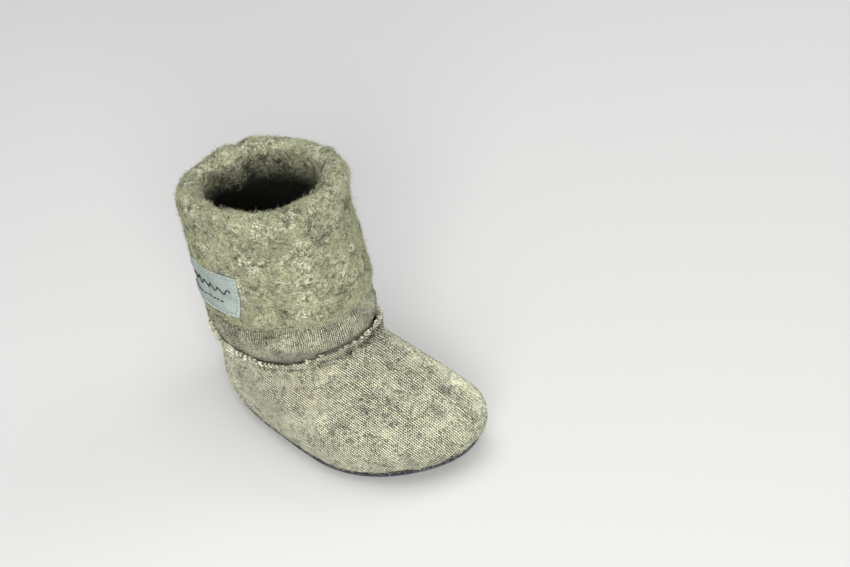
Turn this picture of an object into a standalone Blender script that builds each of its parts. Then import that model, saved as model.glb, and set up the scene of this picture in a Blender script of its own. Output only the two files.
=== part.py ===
"""Wool bootie slipper for a baby, right foot: soft sole, jersey foot, and a leg tube turned down as a cuff.

Metres, +Z up. +X points to the toe and +Y to the inner side of the foot. The origin lies on the
floor under the middle of the whole bootie.
"""

import math
from collections import namedtuple

import bmesh
import bpy
from mathutils import Vector

# Driving sizes
FOOT_LENGTH = 0.126
BALL_WIDTH = 0.066
INSTEP_HEIGHT = 0.0491
HEEL_HEIGHT = 0.0451
LEG_HEIGHT = 0.121
LEG_LENGTH = 0.072
LEG_WIDTH = 0.061
TOE_SWING = 0.0110
WAIST_INNER = 0.0030
WAIST_OUTER = 0.0010
VAMP_INNER = 0.0060

# Where the middle of the foot lies from the origin, so that the origin is under the middle of the whole
FOOT_AHEAD = 0.00407
FOOT_INWARD = 0.0009

# Cloth thicknesses and the gap where two pieces meet
JERSEY = 0.0022
FLEECE = 0.0030
SOLE_CLOTH = 0.0026
INSOLE_CLOTH = 0.0020
LABEL_CLOTH = 0.0007
GAP = 0.0003
EDGE_ROUND = 0.0007

# Facets round the foot and the leg, and rings from one row of a table to the next
SEGMENTS = 52
FOOT_STEPS = 3
TUBE_STEPS = 2
CUFF_STEPS = 2
FOLD_STEPS = 7
LABEL_STEPS = (12, 5)

HALF_LENGTH = FOOT_LENGTH / 2
HALF_BALL = BALL_WIDTH / 2
HALF_LEG_LENGTH = LEG_LENGTH / 2
HALF_LEG_WIDTH = LEG_WIDTH / 2

# Outer face of the foot, one row a level from the sole's edge up to the lip at the ankle.
# toe, heel and ball are stations in half lengths, width is in half ball widths, toe_rise is in
# instep heights and heel_rise in heel heights. flat is the share of the level that keeps its heel
# height before it springs up to the toe. swing, waist and vamp are shares of TOE_SWING, of the waist
# sizes and of VAMP_INNER, by which the inner side draws in ahead of the ankle.
FootLevel = namedtuple("FootLevel", "toe heel ball width toe_rise heel_rise flat swing waist vamp")
FOOT_LEVELS = (
    FootLevel(0.950, -0.935, 0.16, 0.900, 0.144, 0.072, 0.60, 1.00, 1.0, 0.0),
    FootLevel(1.020, -0.990, 0.17, 0.985, 0.309, 0.222, 0.30, 1.00, 0.7, 0.50),
    FootLevel(0.990, -1.000, 0.15, 1.000, 0.540, 0.438, 0.0, 1.00, 0.3, 1.35),
    FootLevel(0.740, -1.000, -0.02, 0.970, 0.690, 0.619, 0.0, 0.80, 0.0, 1.00),
    FootLevel(0.425, -1.005, -0.25, 0.910, 0.790, 0.745, 0.0, 0.40, 0.0, 0.95),
    FootLevel(0.280, -1.025, -0.30, 0.925, 0.895, 0.854, 0.13, 0.15, 0.0, 0.95),
    FootLevel(0.180, -1.055, -0.33, 0.975, 1.048, 0.945, 0.28, 0.34, 0.0, 1.15),
)
ROUND_BIG_TOE = 2.5
ROUND_SMALL_TOE = 2.0
ROUND_HEEL = 2.4
WAIST_STATION = -0.25
WAIST_SPREAD = 0.32
VAMP_STATION = 0.38
VAMP_SPREAD = 0.50

# Section of the sole, one row a ring from the flat that stands on the floor, out round its edge and
# in over its rim to the flat inside. inset is measured in from the foot's lowest level.
SoleRing = namedtuple("SoleRing", "inset height")
RIM_TOP = HEEL_HEIGHT * FOOT_LEVELS[0].heel_rise - GAP
SOLE_RINGS = (
    SoleRing(0.0060, 0.0),
    SoleRing(0.0030, 0.0002),
    SoleRing(0.0010, 0.0010),
    SoleRing(0.0002, 0.0020),
    SoleRing(0.0002, RIM_TOP),
    SoleRing(0.0027, RIM_TOP),
    SoleRing(0.0045, SOLE_CLOTH),
)
INSOLE_INSET = 0.0052
INSOLE_BASE = SOLE_CLOTH + GAP

# Middle of the leg's cloth where it is tucked into the foot, one row a ring. place is a level of the
# foot counted from its first row, inset is measured in from that level's outline, and front is
# drawn in as well towards the instep, where the foot slopes.
TuckRing = namedtuple("TuckRing", "place inset front")
TUCK_RINGS = (
    TuckRing(5.0, 0.0050, 0.0026),
    TuckRing(5.5, 0.0048, 0.0020),
    TuckRing(6.0, 0.0048, 0.0006),
)

# Middle of the leg's cloth above the lip, one row a level. centre is a station in half foot lengths,
# side is metres towards the inner side of the foot, length and width are in half leg sizes, height
# is in leg heights at the centre and tilt is the rise a metre towards the toe. The tube goes up, and
# the cuff comes down from the fold to its hem.
LegLevel = namedtuple("LegLevel", "centre side length width height tilt")
TUBE_LEVELS = (
    LegLevel(-0.437, 0.0, 1.022, 0.965, 0.447, 0.125),
    LegLevel(-0.468, 0.0, 0.930, 0.888, 0.550, 0.19),
    LegLevel(-0.530, 0.0, 0.860, 0.890, 0.760, 0.16),
    LegLevel(-0.560, 0.0, 0.810, 0.865, 0.935, 0.16),
)
CUFF_LEVELS = (
    LegLevel(-0.565, -0.0005, 0.990, 1.015, 0.935, 0.16),
    LegLevel(-0.547, -0.0005, 0.980, 1.025, 0.793, 0.165),
    LegLevel(-0.490, -0.0005, 1.010, 1.015, 0.652, 0.18),
    LegLevel(-0.445, 0.0, 1.058, 1.012, 0.510, 0.21),
)
ROUND_LEG = 2.15

# Label on the outer side of the cuff: its flat sizes, the lean of its short edges to the heel, and
# its middle as an angle round the leg and a place down the rows of the cuff
LABEL_LENGTH = 0.040
LABEL_HEIGHT = 0.0215
LABEL_LEAN = 0.22
LABEL_ANGLE = math.radians(-112.5)
LABEL_PLACE = 2.08


def power(value, exponent):
    """A power that keeps its sign, for the rounded outlines."""
    return math.copysign(abs(value) ** exponent, value)


def between(rows, place):
    """The row of numbers at a place along a table, on a smooth curve through all its rows."""
    padded = [[2 * a - b for a, b in zip(rows[0], rows[1])], *rows,
              [2 * a - b for a, b in zip(rows[-1], rows[-2])]]
    first = min(int(place), len(rows) - 2)
    t = place - first
    return [
        0.5 * (2 * s + (e - b) * t + (2 * b - 5 * s + 4 * e - a) * t**2 + (3 * s - 3 * e + a - b) * t**3)
        for b, s, e, a in zip(*padded[first:first + 4])
    ]


def spread(rows, steps):
    """All rows of a table with steps new rows from each row to the next."""
    return [between(rows, step / steps) for step in range((len(rows) - 1) * steps + 1)]


def angles():
    return [2 * math.pi * segment / SEGMENTS for segment in range(SEGMENTS)]


def nearness(x, station, spread):
    """Share of a draw-in of the outline, full at its station and fading out on both sides."""
    away = (x / HALF_LENGTH - station) / spread
    return math.exp(-away * away)


def foot_point(level, angle):
    """A point of one level of the foot, on an egg outline that is squarer at the big toe."""
    toe, heel, ball = (HALF_LENGTH * share for share in (level.toe, level.heel, level.ball))
    along, across = math.cos(angle), math.sin(angle)
    round_toe = ROUND_BIG_TOE if across > 0 else ROUND_SMALL_TOE
    roundness = 2 / (round_toe if along > 0 else ROUND_HEEL)
    reach = toe - ball if along > 0 else ball - heel
    x = ball + reach * power(along, roundness)
    y = HALF_BALL * level.width * power(across, roundness)
    waist = WAIST_INNER if across > 0 else WAIST_OUTER
    y -= across * level.waist * waist * nearness(x, WAIST_STATION, WAIST_SPREAD)
    y -= max(0.0, across) * level.vamp * VAMP_INNER * nearness(x, VAMP_STATION, VAMP_SPREAD)
    forward = max(0.0, (x - ball) / (toe - ball))
    y += TOE_SWING * level.swing * forward**2
    rise = max(0.0, ((x - heel) / (toe - heel) - level.flat) / (1 - level.flat))
    rise **= 1 + min(1.0, 2 * max(0.0, level.flat))
    low, high = HEEL_HEIGHT * level.heel_rise, INSTEP_HEIGHT * level.toe_rise
    return Vector((x + FOOT_AHEAD, y + FOOT_INWARD, low + (high - low) * rise))


def foot_rings():
    levels = [FootLevel(*row) for row in spread(FOOT_LEVELS, FOOT_STEPS)]
    return [[foot_point(level, angle) for angle in angles()] for level in levels]


def inset_ring(level, inset, front=0.0):
    """A level of the foot drawn in by an inset, and by more towards the front."""
    edge = [foot_point(level, angle) for angle in angles()]
    ring = []
    for here, point in enumerate(edge):
        run = edge[(here + 1) % SEGMENTS] - edge[here - 1]
        inward = Vector((-run.y, run.x, 0)).normalized()
        ring.append(point + inward * (inset + front * max(0.0, -inward.x)))
    return ring


def sole_ring(inset, height):
    """The foot's lowest level drawn in, at a height over the floor under its toe spring."""
    level = FOOT_LEVELS[0]
    lift = Vector((0, 0, height - HEEL_HEIGHT * level.heel_rise))
    return [point + lift for point in inset_ring(level, inset)]


def tuck_ring(place, inset, front):
    """The leg's cloth inside one level of the foot."""
    return inset_ring(FootLevel(*between(FOOT_LEVELS, place)), inset, front)


def leg_point(level, angle):
    """A point of one level of the leg's cloth, on an oval."""
    x = HALF_LEG_LENGTH * level.length * power(math.cos(angle), 2 / ROUND_LEG)
    y = HALF_LEG_WIDTH * level.width * power(math.sin(angle), 2 / ROUND_LEG)
    x_here = FOOT_AHEAD + HALF_LENGTH * level.centre + x
    return Vector((x_here, FOOT_INWARD + level.side + y, LEG_HEIGHT * level.height + level.tilt * x))


def leg_rings():
    """The whole cloth of the leg: out of the foot, up the tube, over the fold at the rim, down the cuff."""
    tuck = [tuck_ring(*ring) for ring in TUCK_RINGS]
    tube, cuff = (
        [[leg_point(LegLevel(*row), angle) for angle in angles()] for row in spread(levels, steps)]
        for levels, steps in ((TUBE_LEVELS, TUBE_STEPS), (CUFF_LEVELS, CUFF_STEPS))
    )
    fold = []
    for step in range(1, FOLD_STEPS):
        turn = math.pi * step / FOLD_STEPS
        ring = []
        for inner, outer in zip(tube[-1], cuff[0]):
            middle, half = (inner + outer) / 2, (outer - inner) / 2
            ring.append(middle - half * math.cos(turn) + Vector((0, 0, half.length * math.sin(turn))))
        fold.append(ring)
    return tuck + tube + fold + cuff


def label_rows():
    """The label's middle face, laid on the outer face of the cuff from its flat sizes."""
    lift = FLEECE / 2 + GAP + LABEL_CLOTH / 2
    row_height = LEG_HEIGHT * (CUFF_LEVELS[0].height - CUFF_LEVELS[-1].height) / (len(CUFF_LEVELS) - 1)
    across, down = LABEL_STEPS
    rows = []
    for step in range(down + 1):
        v = LABEL_HEIGHT * (step / down - 0.5)
        row = []
        for column in range(across + 1):
            u = LABEL_LENGTH * (column / across - 0.5)
            angle = LABEL_ANGLE - (u + LABEL_LEAN * v) / HALF_LEG_LENGTH
            place = LABEL_PLACE + v / row_height
            row.append(cuff_point(place, angle) + cuff_normal(place, angle) * lift)
        rows.append(row)
    return rows


def cuff_point(place, angle):
    return leg_point(LegLevel(*between(CUFF_LEVELS, place)), angle)


def cuff_normal(place, angle):
    """Outward direction of the cuff's cloth, from its slopes along and round the leg."""
    small = 0.01
    round_leg = cuff_point(place, angle + small) - cuff_point(place, angle - small)
    down = cuff_point(place + small, angle) - cuff_point(place - small, angle)
    return down.cross(round_leg).normalized()


def skin(rows, closed):
    """A mesh of four-sided faces over rows of points, closed round each row or left open."""
    mesh = bmesh.new()
    grid = [[mesh.verts.new(point) for point in row] for row in rows]
    count = len(rows[0])
    for low, high in zip(grid, grid[1:]):
        for here in range(count if closed else count - 1):
            after = (here + 1) % count
            mesh.faces.new((low[here], low[after], high[after], high[here]))
    return mesh, grid


def cap(mesh, ring, upward):
    """Close a ring of the sole with strips straight across it, so that it bends only at the toe."""
    half = len(ring) // 2
    for here in range(half):
        corners = [ring[here], ring[here + 1], ring[-here - 1], ring[-here]]
        corners = list(dict.fromkeys(corners))
        mesh.faces.new(corners if upward else corners[::-1])


def add_piece(parts, name, mesh, material):
    """Turn a mesh into a named piece of the bootie with its own material."""
    data = bpy.data.meshes.new(name)
    mesh.to_mesh(data)
    mesh.free()
    data.materials.append(material)
    piece = bpy.data.objects.new(name, data)
    parts.objects.link(piece)
    return piece


def make_material(name, colour, roughness):
    material = bpy.data.materials.new(name)
    material.use_nodes = True
    shader = material.node_tree.nodes["Principled BSDF"]
    shader.inputs["Base Color"].default_value = (*colour, 1.0)
    shader.inputs["Roughness"].default_value = roughness
    return material


def thicken(piece, thickness, offset):
    """Give a sheet its cloth thickness, offset -1 to the inside only and 0 to both sides."""
    cloth = piece.modifiers.new("cloth", "SOLIDIFY")
    cloth.thickness = thickness
    cloth.offset = offset
    cloth.use_even_offset = True
    cloth.use_quality_normals = True


def soften_edges(piece):
    """Round the cut edges of a cloth."""
    edge = piece.modifiers.new("soft_edge", "BEVEL")
    edge.width = EDGE_ROUND
    edge.segments = 2
    edge.limit_method = "ANGLE"
    edge.angle_limit = math.radians(55)


def make_outsole(parts):
    mesh, grid = skin([sole_ring(*ring) for ring in SOLE_RINGS], closed=True)
    cap(mesh, grid[0], upward=False)
    cap(mesh, grid[-1], upward=True)
    return add_piece(parts, "outsole", mesh, make_material("navy_felt", (0.035, 0.04, 0.06), 0.95))


def make_insole(parts):
    heights = (INSOLE_BASE, INSOLE_BASE + INSOLE_CLOTH)
    mesh, grid = skin([sole_ring(INSOLE_INSET, height) for height in heights], closed=True)
    cap(mesh, grid[0], upward=False)
    cap(mesh, grid[-1], upward=True)
    return add_piece(parts, "insole", mesh, make_material("grey_felt", (0.30, 0.29, 0.26), 0.95))


def make_upper(parts):
    mesh, _ = skin(foot_rings(), closed=True)
    upper = add_piece(parts, "upper", mesh, make_material("wool_jersey", (0.44, 0.43, 0.37), 0.95))
    thicken(upper, JERSEY, -1)
    soften_edges(upper)
    return upper


def make_shaft(parts):
    mesh, _ = skin(leg_rings(), closed=True)
    shaft = add_piece(parts, "shaft", mesh, make_material("wool_fleece", (0.40, 0.39, 0.33), 0.95))
    thicken(shaft, FLEECE, 0)
    soften_edges(shaft)
    return shaft


def make_label(parts):
    mesh, _ = skin(label_rows(), closed=False)
    label = add_piece(parts, "label", mesh, make_material("woven_label", (0.42, 0.50, 0.50), 0.7))
    thicken(label, LABEL_CLOTH, 0)
    return label


def main():
    for old in list(bpy.data.objects):
        bpy.data.objects.remove(old)
    parts = bpy.data.collections.new("wool_bootie")
    bpy.context.scene.collection.children.link(parts)
    for make in (make_outsole, make_insole, make_upper, make_shaft, make_label):
        make(parts)


main()
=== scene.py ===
"""Looks of the wool slipper bootie: knitted foot, fleecy cuff, felt sole, sewn label and loose fibres."""
import math
from collections import namedtuple

import bpy
import numpy as np
from bpy.props import FloatProperty, FloatVectorProperty, PointerProperty
from mathutils import Matrix, Vector, noise


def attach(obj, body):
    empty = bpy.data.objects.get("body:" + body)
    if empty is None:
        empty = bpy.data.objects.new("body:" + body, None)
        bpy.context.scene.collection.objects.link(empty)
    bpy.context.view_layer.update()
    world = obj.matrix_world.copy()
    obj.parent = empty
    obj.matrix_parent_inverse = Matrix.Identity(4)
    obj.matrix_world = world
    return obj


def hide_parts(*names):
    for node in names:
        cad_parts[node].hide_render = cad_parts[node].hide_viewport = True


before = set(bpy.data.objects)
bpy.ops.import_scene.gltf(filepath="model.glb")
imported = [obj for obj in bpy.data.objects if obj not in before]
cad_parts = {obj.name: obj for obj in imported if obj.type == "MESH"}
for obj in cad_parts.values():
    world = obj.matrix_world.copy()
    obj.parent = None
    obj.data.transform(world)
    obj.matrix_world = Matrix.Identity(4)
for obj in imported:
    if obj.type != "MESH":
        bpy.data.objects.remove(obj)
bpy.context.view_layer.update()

bl_info = {
    "name": "Wool slipper bootie",
    "version": (1, 0, 0),
    "blender": (4, 5, 0),
    "location": "View3D > Sidebar > Bootie",
    "description": "Builds a baby's wool slipper bootie over its packed frame",
    "category": "Add Mesh",
}

MM = 0.001

# Outer face of the foot, as in the part: one row a level from the sole's edge up to the lip.
# toe, heel and ball are stations in half lengths, width is in half ball widths, toe_rise is in
# instep heights, heel_rise in heel heights, flat is the level share, swing, waist and vamp are shares.
FootLevel = namedtuple("FootLevel", "toe heel ball width toe_rise heel_rise flat swing waist vamp")
FOOT_LEVELS = (
    FootLevel(0.950, -0.935, 0.16, 0.900, 0.144, 0.072, 0.60, 1.00, 1.0, 0.0),
    FootLevel(1.020, -0.990, 0.17, 0.985, 0.309, 0.222, 0.30, 1.00, 0.7, 0.50),
    FootLevel(0.990, -1.000, 0.15, 1.000, 0.540, 0.438, 0.0, 1.00, 0.3, 1.35),
    FootLevel(0.740, -1.000, -0.02, 0.970, 0.690, 0.619, 0.0, 0.80, 0.0, 1.00),
    FootLevel(0.425, -1.005, -0.25, 0.910, 0.790, 0.745, 0.0, 0.40, 0.0, 0.95),
    FootLevel(0.280, -1.025, -0.30, 0.925, 0.895, 0.854, 0.13, 0.15, 0.0, 0.95),
    FootLevel(0.180, -1.055, -0.33, 0.975, 1.048, 0.945, 0.28, 0.34, 0.0, 1.15),
)
LIP_LEVEL = len(FOOT_LEVELS) - 1
ROUND_BIG_TOE = 2.5
ROUND_SMALL_TOE = 2.0
ROUND_HEEL = 2.4
WAIST_STATION = -0.25
WAIST_SPREAD = 0.32
WAIST_INNER = 3.0 * MM
WAIST_OUTER = 1.0 * MM
VAMP_STATION = 0.38
VAMP_SPREAD = 0.50
VAMP_INNER = 6.0 * MM

# Middle of the leg's cloth inside the foot, and above it up the tube and down the cuff
TuckRing = namedtuple("TuckRing", "place inset front")
TUCK_RINGS = (
    TuckRing(5.0, 5.0 * MM, 2.6 * MM),
    TuckRing(5.5, 4.8 * MM, 2.0 * MM),
    TuckRing(6.0, 4.8 * MM, 0.6 * MM),
)
LegLevel = namedtuple("LegLevel", "centre side length width height tilt")
TUBE_LEVELS = (
    LegLevel(-0.437, 0.0, 1.022, 0.965, 0.447, 0.125),
    LegLevel(-0.468, 0.0, 0.930, 0.888, 0.550, 0.19),
    LegLevel(-0.530, 0.0, 0.860, 0.890, 0.760, 0.16),
    LegLevel(-0.560, 0.0, 0.810, 0.865, 0.935, 0.16),
)
CUFF_LEVELS = (
    LegLevel(-0.565, -0.5 * MM, 0.990, 1.015, 0.935, 0.16),
    LegLevel(-0.547, -0.5 * MM, 0.980, 1.025, 0.793, 0.165),
    LegLevel(-0.490, -0.5 * MM, 1.010, 1.015, 0.652, 0.18),
    LegLevel(-0.445, 0.0, 1.058, 1.012, 0.510, 0.21),
)
ROUND_LEG = 2.15

# Section of the sole: inset from the foot's lowest level, and height over the floor or, round its turned-up
# rim, over the rim. Then how much it comes out and up where it shows, and how its middle is filled
SoleRing = namedtuple("SoleRing", "inset height")
SOLE_UNDER = (
    SoleRing(6.0 * MM, 0.0),
    SoleRing(3.0 * MM, 0.2 * MM),
    SoleRing(1.0 * MM, 1.0 * MM),
    SoleRing(0.2 * MM, 2.0 * MM),
)
SOLE_RIM = (
    SoleRing(0.2 * MM, 0.0),
    SoleRing(1.4 * MM, 0.1 * MM),
    SoleRing(2.7 * MM, 0.0),
)
SOLE_INSIDE = 4.5 * MM
RIM_UNDER_FOOT = 0.3 * MM
SOLE_OUT = 1.0 * MM
SOLE_OUTSIDE = 2 * MM
SOLE_UP = 0.3 * MM
UNDER_SHARES = (0.15, 0.4, 0.65, 0.85)
OVER_SHARES = (0.85, 0.6, 0.3)
INSOLE_INSET = 5.2 * MM
INSOLE_GAP = 0.3 * MM
INSOLE_ROUNDED = 0.6 * MM
INSOLE_WALL = 0.7
INSOLE_UNDER_SHARES = (0.3, 0.7)
INSOLE_OVER_SHARES = (0.8, 0.5, 0.2)

# Soft folds of the leg's cloth: angle round the leg and its spread in degrees, height over the floor and its
# spread, and how far the cloth stands out (or in, below zero)
Fold = namedtuple("Fold", "angle reach height spread out")
CUFF_FOLDS = (
    Fold(-40, 70, 75 * MM, 6.0 * MM, -1.6 * MM),
    Fold(-60, 80, 63 * MM, 5.0 * MM, 0.9 * MM),
    Fold(35, 40, 70 * MM, 6.0 * MM, 0.5 * MM),
    Fold(-75, 22, 103 * MM, 9.0 * MM, 0.7 * MM),
    Fold(-20, 26, 98 * MM, 10.0 * MM, -0.6 * MM),
    Fold(20, 24, 112 * MM, 7.0 * MM, 0.7 * MM),
    Fold(120, 30, 92 * MM, 8.0 * MM, -0.8 * MM),
    Fold(155, 8, 114 * MM, 9.0 * MM, -2.4 * MM),
    Fold(172, 16, 114 * MM, 9.0 * MM, -0.8 * MM),
    Fold(-150, 20, 104 * MM, 8.0 * MM, 0.7 * MM),
    Fold(-172, 26, 114 * MM, 8.0 * MM, -1.9 * MM),
    Fold(141, 7, 114 * MM, 7.0 * MM, 1.2 * MM),
    Fold(46, 24, 111 * MM, 13.0 * MM, -1.9 * MM),
)

# Folds of the tube's inside, out towards the middle of the leg
TUBE_FOLDS = (
    Fold(38, 36, 113 * MM, 11.0 * MM, 4.0 * MM),
    Fold(163, 10, 101 * MM, 15.0 * MM, 4.2 * MM),
    Fold(-150, 24, 98 * MM, 10.0 * MM, -0.8 * MM),
)

# Soft troughs and ridges of the foot, by station along the foot, height on it and side
Dent = namedtuple("Dent", "x y z reach out")
FOOT_DENTS = (
    Dent(24 * MM, -22 * MM, 36 * MM, 10 * MM, -0.7 * MM),
    Dent(10 * MM, 24 * MM, 40 * MM, 9 * MM, -0.8 * MM),
    Dent(-40 * MM, -24 * MM, 24 * MM, 10 * MM, -0.8 * MM),
    Dent(50 * MM, -10 * MM, 28 * MM, 12 * MM, 0.5 * MM),
    Dent(0 * MM, -33 * MM, 20 * MM, 11 * MM, 0.5 * MM),
    Dent(-52 * MM, 6 * MM, 30 * MM, 12 * MM, -0.7 * MM),
)


def metres(name, words, value):
    """A length property."""
    return FloatProperty(name=name, description=words, default=value, unit="LENGTH")


def turning(name, words, degrees):
    """An angle property."""
    return FloatProperty(name=name, description=words, default=math.radians(degrees), unit="ROTATION")


def watts(name, words, value):
    """A property for the power of a light."""
    return FloatProperty(name=name, description=words, default=value, unit="POWER")


def colour(name, words, value):
    """A colour property in linear light."""
    return FloatVectorProperty(name=name, description=words, subtype="COLOR", size=3, default=value,
                               min=0.0, max=1.0)


class BootieSizes(bpy.types.PropertyGroup):
    """Real sizes of the bootie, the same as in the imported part."""

    foot_length: metres("Foot length", "Length of the foot outside", 126 * MM)
    ball_width: metres("Ball width", "Width of the foot at the ball", 66 * MM)
    instep_height: metres("Instep height", "Height of the lip at the instep", 49.1 * MM)
    heel_height: metres("Heel height", "Height of the lip at the heel", 45.1 * MM)
    leg_height: metres("Leg height", "Height of the rim's middle line", 121 * MM)
    leg_length: metres("Leg length", "Length of the leg's oval", 72 * MM)
    leg_width: metres("Leg width", "Width of the leg's oval", 61 * MM)
    toe_swing: metres("Toe swing", "How far the toe swings to the inner side", 11 * MM)
    foot_ahead: metres("Foot ahead", "Middle of the foot ahead of the origin", 4.07 * MM)
    foot_inward: metres("Foot inward", "Middle of the foot inside of the origin", 0.9 * MM)
    jersey: metres("Jersey", "Thickness of the foot's cloth", 2.2 * MM)
    fleece: metres("Fleece", "Thickness of the leg's cloth", 3.0 * MM)
    sole_cloth: metres("Sole felt", "Thickness of the sole's felt", 2.6 * MM)
    insole_cloth: metres("Insole felt", "Thickness of the insole", 2.0 * MM)
    label_length: metres("Label length", "Length of the label laid flat", 40 * MM)
    label_height: metres("Label height", "Height of the label laid flat", 21.5 * MM)
    label_cloth: metres("Label tape", "Thickness of the label", 0.7 * MM)
    wale: metres("Wale", "Width of one column of stitches", 1.71 * MM)
    course: metres("Course", "Height of one row of stitches", 1.02 * MM)
    grain: turning("Grain", "Lean of the planes that the rows of stitches follow", 38.5)


class BootieColours(bpy.types.PropertyGroup):
    """Colours of the cloths and threads."""

    wool_pale: colour("Pale wool", "Light fibres of the flecked wool", (0.92, 0.90, 0.645))
    wool_cool: colour("Cool wool", "Cooler patches of the light fibres", (0.60, 0.67, 0.49))
    wool_mid: colour("Grey wool", "Main fibres of the flecked wool", (0.174, 0.175, 0.119))
    wool_dark: colour("Dark wool", "Dark fibres of the flecked wool", (0.030, 0.030, 0.026))
    fleece_pale: colour("Pale fleece", "Loose light fibres of the leg's fleece", (0.60, 0.60, 0.418))
    fleece_cloth: colour("Fleece cloth", "Light wool of the leg's cloth", (0.69, 0.69, 0.48))
    # Painted shade: near black that stands for the shadow down inside the leg
    fleece_deep: colour("Painted shade in the leg", "Fleece down inside the leg", (0.004, 0.004, 0.003))
    band_pale: colour("Pale band", "Light fibres of the band over the lip", (0.72, 0.725, 0.51))
    band_grey: colour("Band wool", "Main fibres of the band over the lip", (0.57, 0.58, 0.415))
    jersey_grey: colour("Jersey wool", "Main fibres of the foot's jersey", (0.785, 0.79, 0.58))
    # Painted shade: the back of the foot's jersey is kept dark to match the shade inside the bootie
    inside_wool: colour("Shaded inside wool", "Back of the foot's jersey", (0.060, 0.058, 0.046))
    sole_navy: colour("Navy felt", "Felt of the sole", (0.026, 0.030, 0.046))
    sole_lint: colour("Sole lint", "Light fibres of the sole's felt", (0.09, 0.10, 0.13))
    # Painted shade: the insole felt is kept this dark to match the shade inside the bootie
    insole_grey: colour("Insole felt", "Felt of the insole", (0.075, 0.073, 0.060))
    label_tape: colour("Label tape", "Woven tape of the label", (0.300, 0.353, 0.328))
    label_thread: colour("Label thread", "Stitches round the label", (0.66, 0.74, 0.70))
    label_dark: colour("Label line", "Wavy line and dashes on the label", (0.012, 0.016, 0.016))
    thread: colour("Pale thread", "Loops of yarn on the raw edge", (0.72, 0.70, 0.58))
    floor: colour("Floor", "Studio floor", (0.58, 0.585, 0.58))
    lamp: colour("Lamps", "Light of the three lamps", (1.0, 0.97, 0.93))
    sky: colour("Sky", "Light from all round", (0.86, 0.91, 1.0))


class StageSettings(bpy.types.PropertyGroup):
    """Camera and lights at the photo's angle."""

    azimuth: turning("Azimuth", "Camera round the bootie", 41)
    elevation: turning("Elevation", "Camera above the floor", 40)
    roll: turning("Roll", "Camera turned about its view", -2.5)
    distance: metres("Distance", "Camera to its aim", 0.766)
    lens: FloatProperty(name="Lens", description="Focal length on a 36 mm sensor", default=76.15,
                        unit="CAMERA")
    aim: FloatVectorProperty(name="Aim", description="Point that the camera looks at",
                             default=(0.0263, 0.0333, 0.0668), subtype="XYZ", unit="LENGTH")
    key: watts("Key light", "Power of the large soft light above", 7.5)
    front: watts("Front light", "Power of the light near the camera", 24.0)
    fill: watts("Fill light", "Power of the light on the inner side", 3.5)
    world: FloatProperty(name="World", description="Strength of the light from all round", default=0.40)


def sizes():
    return bpy.context.scene.bootie_sizes


def colours():
    return bpy.context.scene.bootie_colours


# Shapes

UP = np.array([0.0, 0.0, 1.0])
SEED_STEP = np.array([7.31, 3.77, 5.13])


def unit(vectors):
    return vectors / np.linalg.norm(vectors, axis=-1, keepdims=True)


def signed_power(values, exponent):
    return np.sign(values) * np.abs(values) ** exponent


def rows_at(table, places):
    """Rows of a table at places between its rows, on a smooth curve through all of them."""
    rows = np.array(table, dtype=float)
    rows = np.vstack([2 * rows[0] - rows[1], rows, 2 * rows[-1] - rows[-2]])
    first = np.clip(np.floor(places).astype(int), 0, len(table) - 2)
    t = (places - first)[:, None]
    before, start, end, after = (rows[first + step] for step in range(4))
    return 0.5 * (2 * start + (end - before) * t + (2 * before - 5 * start + 4 * end - after) * t**2
                  + (3 * start - 3 * end + after - before) * t**3)


def foot_grid(places, angles):
    """Points of the foot's outer face, a row for each place between its levels."""
    size = sizes()
    half, half_ball = size.foot_length / 2, size.ball_width / 2
    columns = rows_at(FOOT_LEVELS, places).T[:, :, None]
    toe, heel, ball, width, toe_rise, heel_rise, flat, swing, waist, vamp = columns
    along, across = np.cos(angles)[None, :], np.sin(angles)[None, :]
    roundness = np.where(along > 0, np.where(across > 0, ROUND_BIG_TOE, ROUND_SMALL_TOE), ROUND_HEEL)
    reach = np.where(along > 0, toe - ball, ball - heel)
    x = ball + reach * signed_power(along, 2 / roundness)
    y = half_ball * width * signed_power(across, 2 / roundness)
    away = (x - WAIST_STATION) / WAIST_SPREAD
    y -= across * waist * np.where(across > 0, WAIST_INNER, WAIST_OUTER) * np.exp(-away * away)
    away = (x - VAMP_STATION) / VAMP_SPREAD
    y -= np.maximum(0, across) * vamp * VAMP_INNER * np.exp(-away * away)
    y += size.toe_swing * swing * np.maximum(0, (x - ball) / (toe - ball)) ** 2
    rise = np.maximum(0, ((x - heel) / (toe - heel) - flat) / (1 - flat))
    rise = rise ** (1 + np.clip(2 * flat, 0, 1))
    low, high = size.heel_height * heel_rise, size.instep_height * toe_rise
    return np.stack([half * x + size.foot_ahead, y + size.foot_inward, low + (high - low) * rise], axis=2)


def leg_grid(table, places, angles):
    """Points of the middle of the leg's cloth, a row for each place between its levels."""
    size = sizes()
    columns = rows_at(table, places).T[:, :, None]
    centre, side, length, width, height, tilt = columns
    x = size.leg_length / 2 * length * signed_power(np.cos(angles)[None, :], 2 / ROUND_LEG)
    y = size.leg_width / 2 * width * signed_power(np.sin(angles)[None, :], 2 / ROUND_LEG)
    ahead = size.foot_ahead + size.foot_length / 2 * centre
    return np.stack([ahead + x, size.foot_inward + side + y, size.leg_height * height + tilt * x], axis=2)


def inset_rings(grid, inset, front=0.0):
    """Rings drawn in level with the floor, and by more towards the front."""
    run = np.roll(grid, -1, axis=1) - np.roll(grid, 1, axis=1)
    inward = unit(np.stack([-run[..., 1], run[..., 0]], axis=2))
    shifted = grid.copy()
    shifted[..., :2] += inward * (inset + front * np.maximum(0, -inward[..., :1]))
    return shifted


def grid_normals(grid, closed=True):
    """Directions across a grid of points: round each row, crossed with along the rows."""
    if closed:
        round_row = np.roll(grid, -1, axis=1) - np.roll(grid, 1, axis=1)
    else:
        round_row = np.gradient(grid, axis=1)
    return unit(np.cross(round_row, np.gradient(grid, axis=0)))


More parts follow.
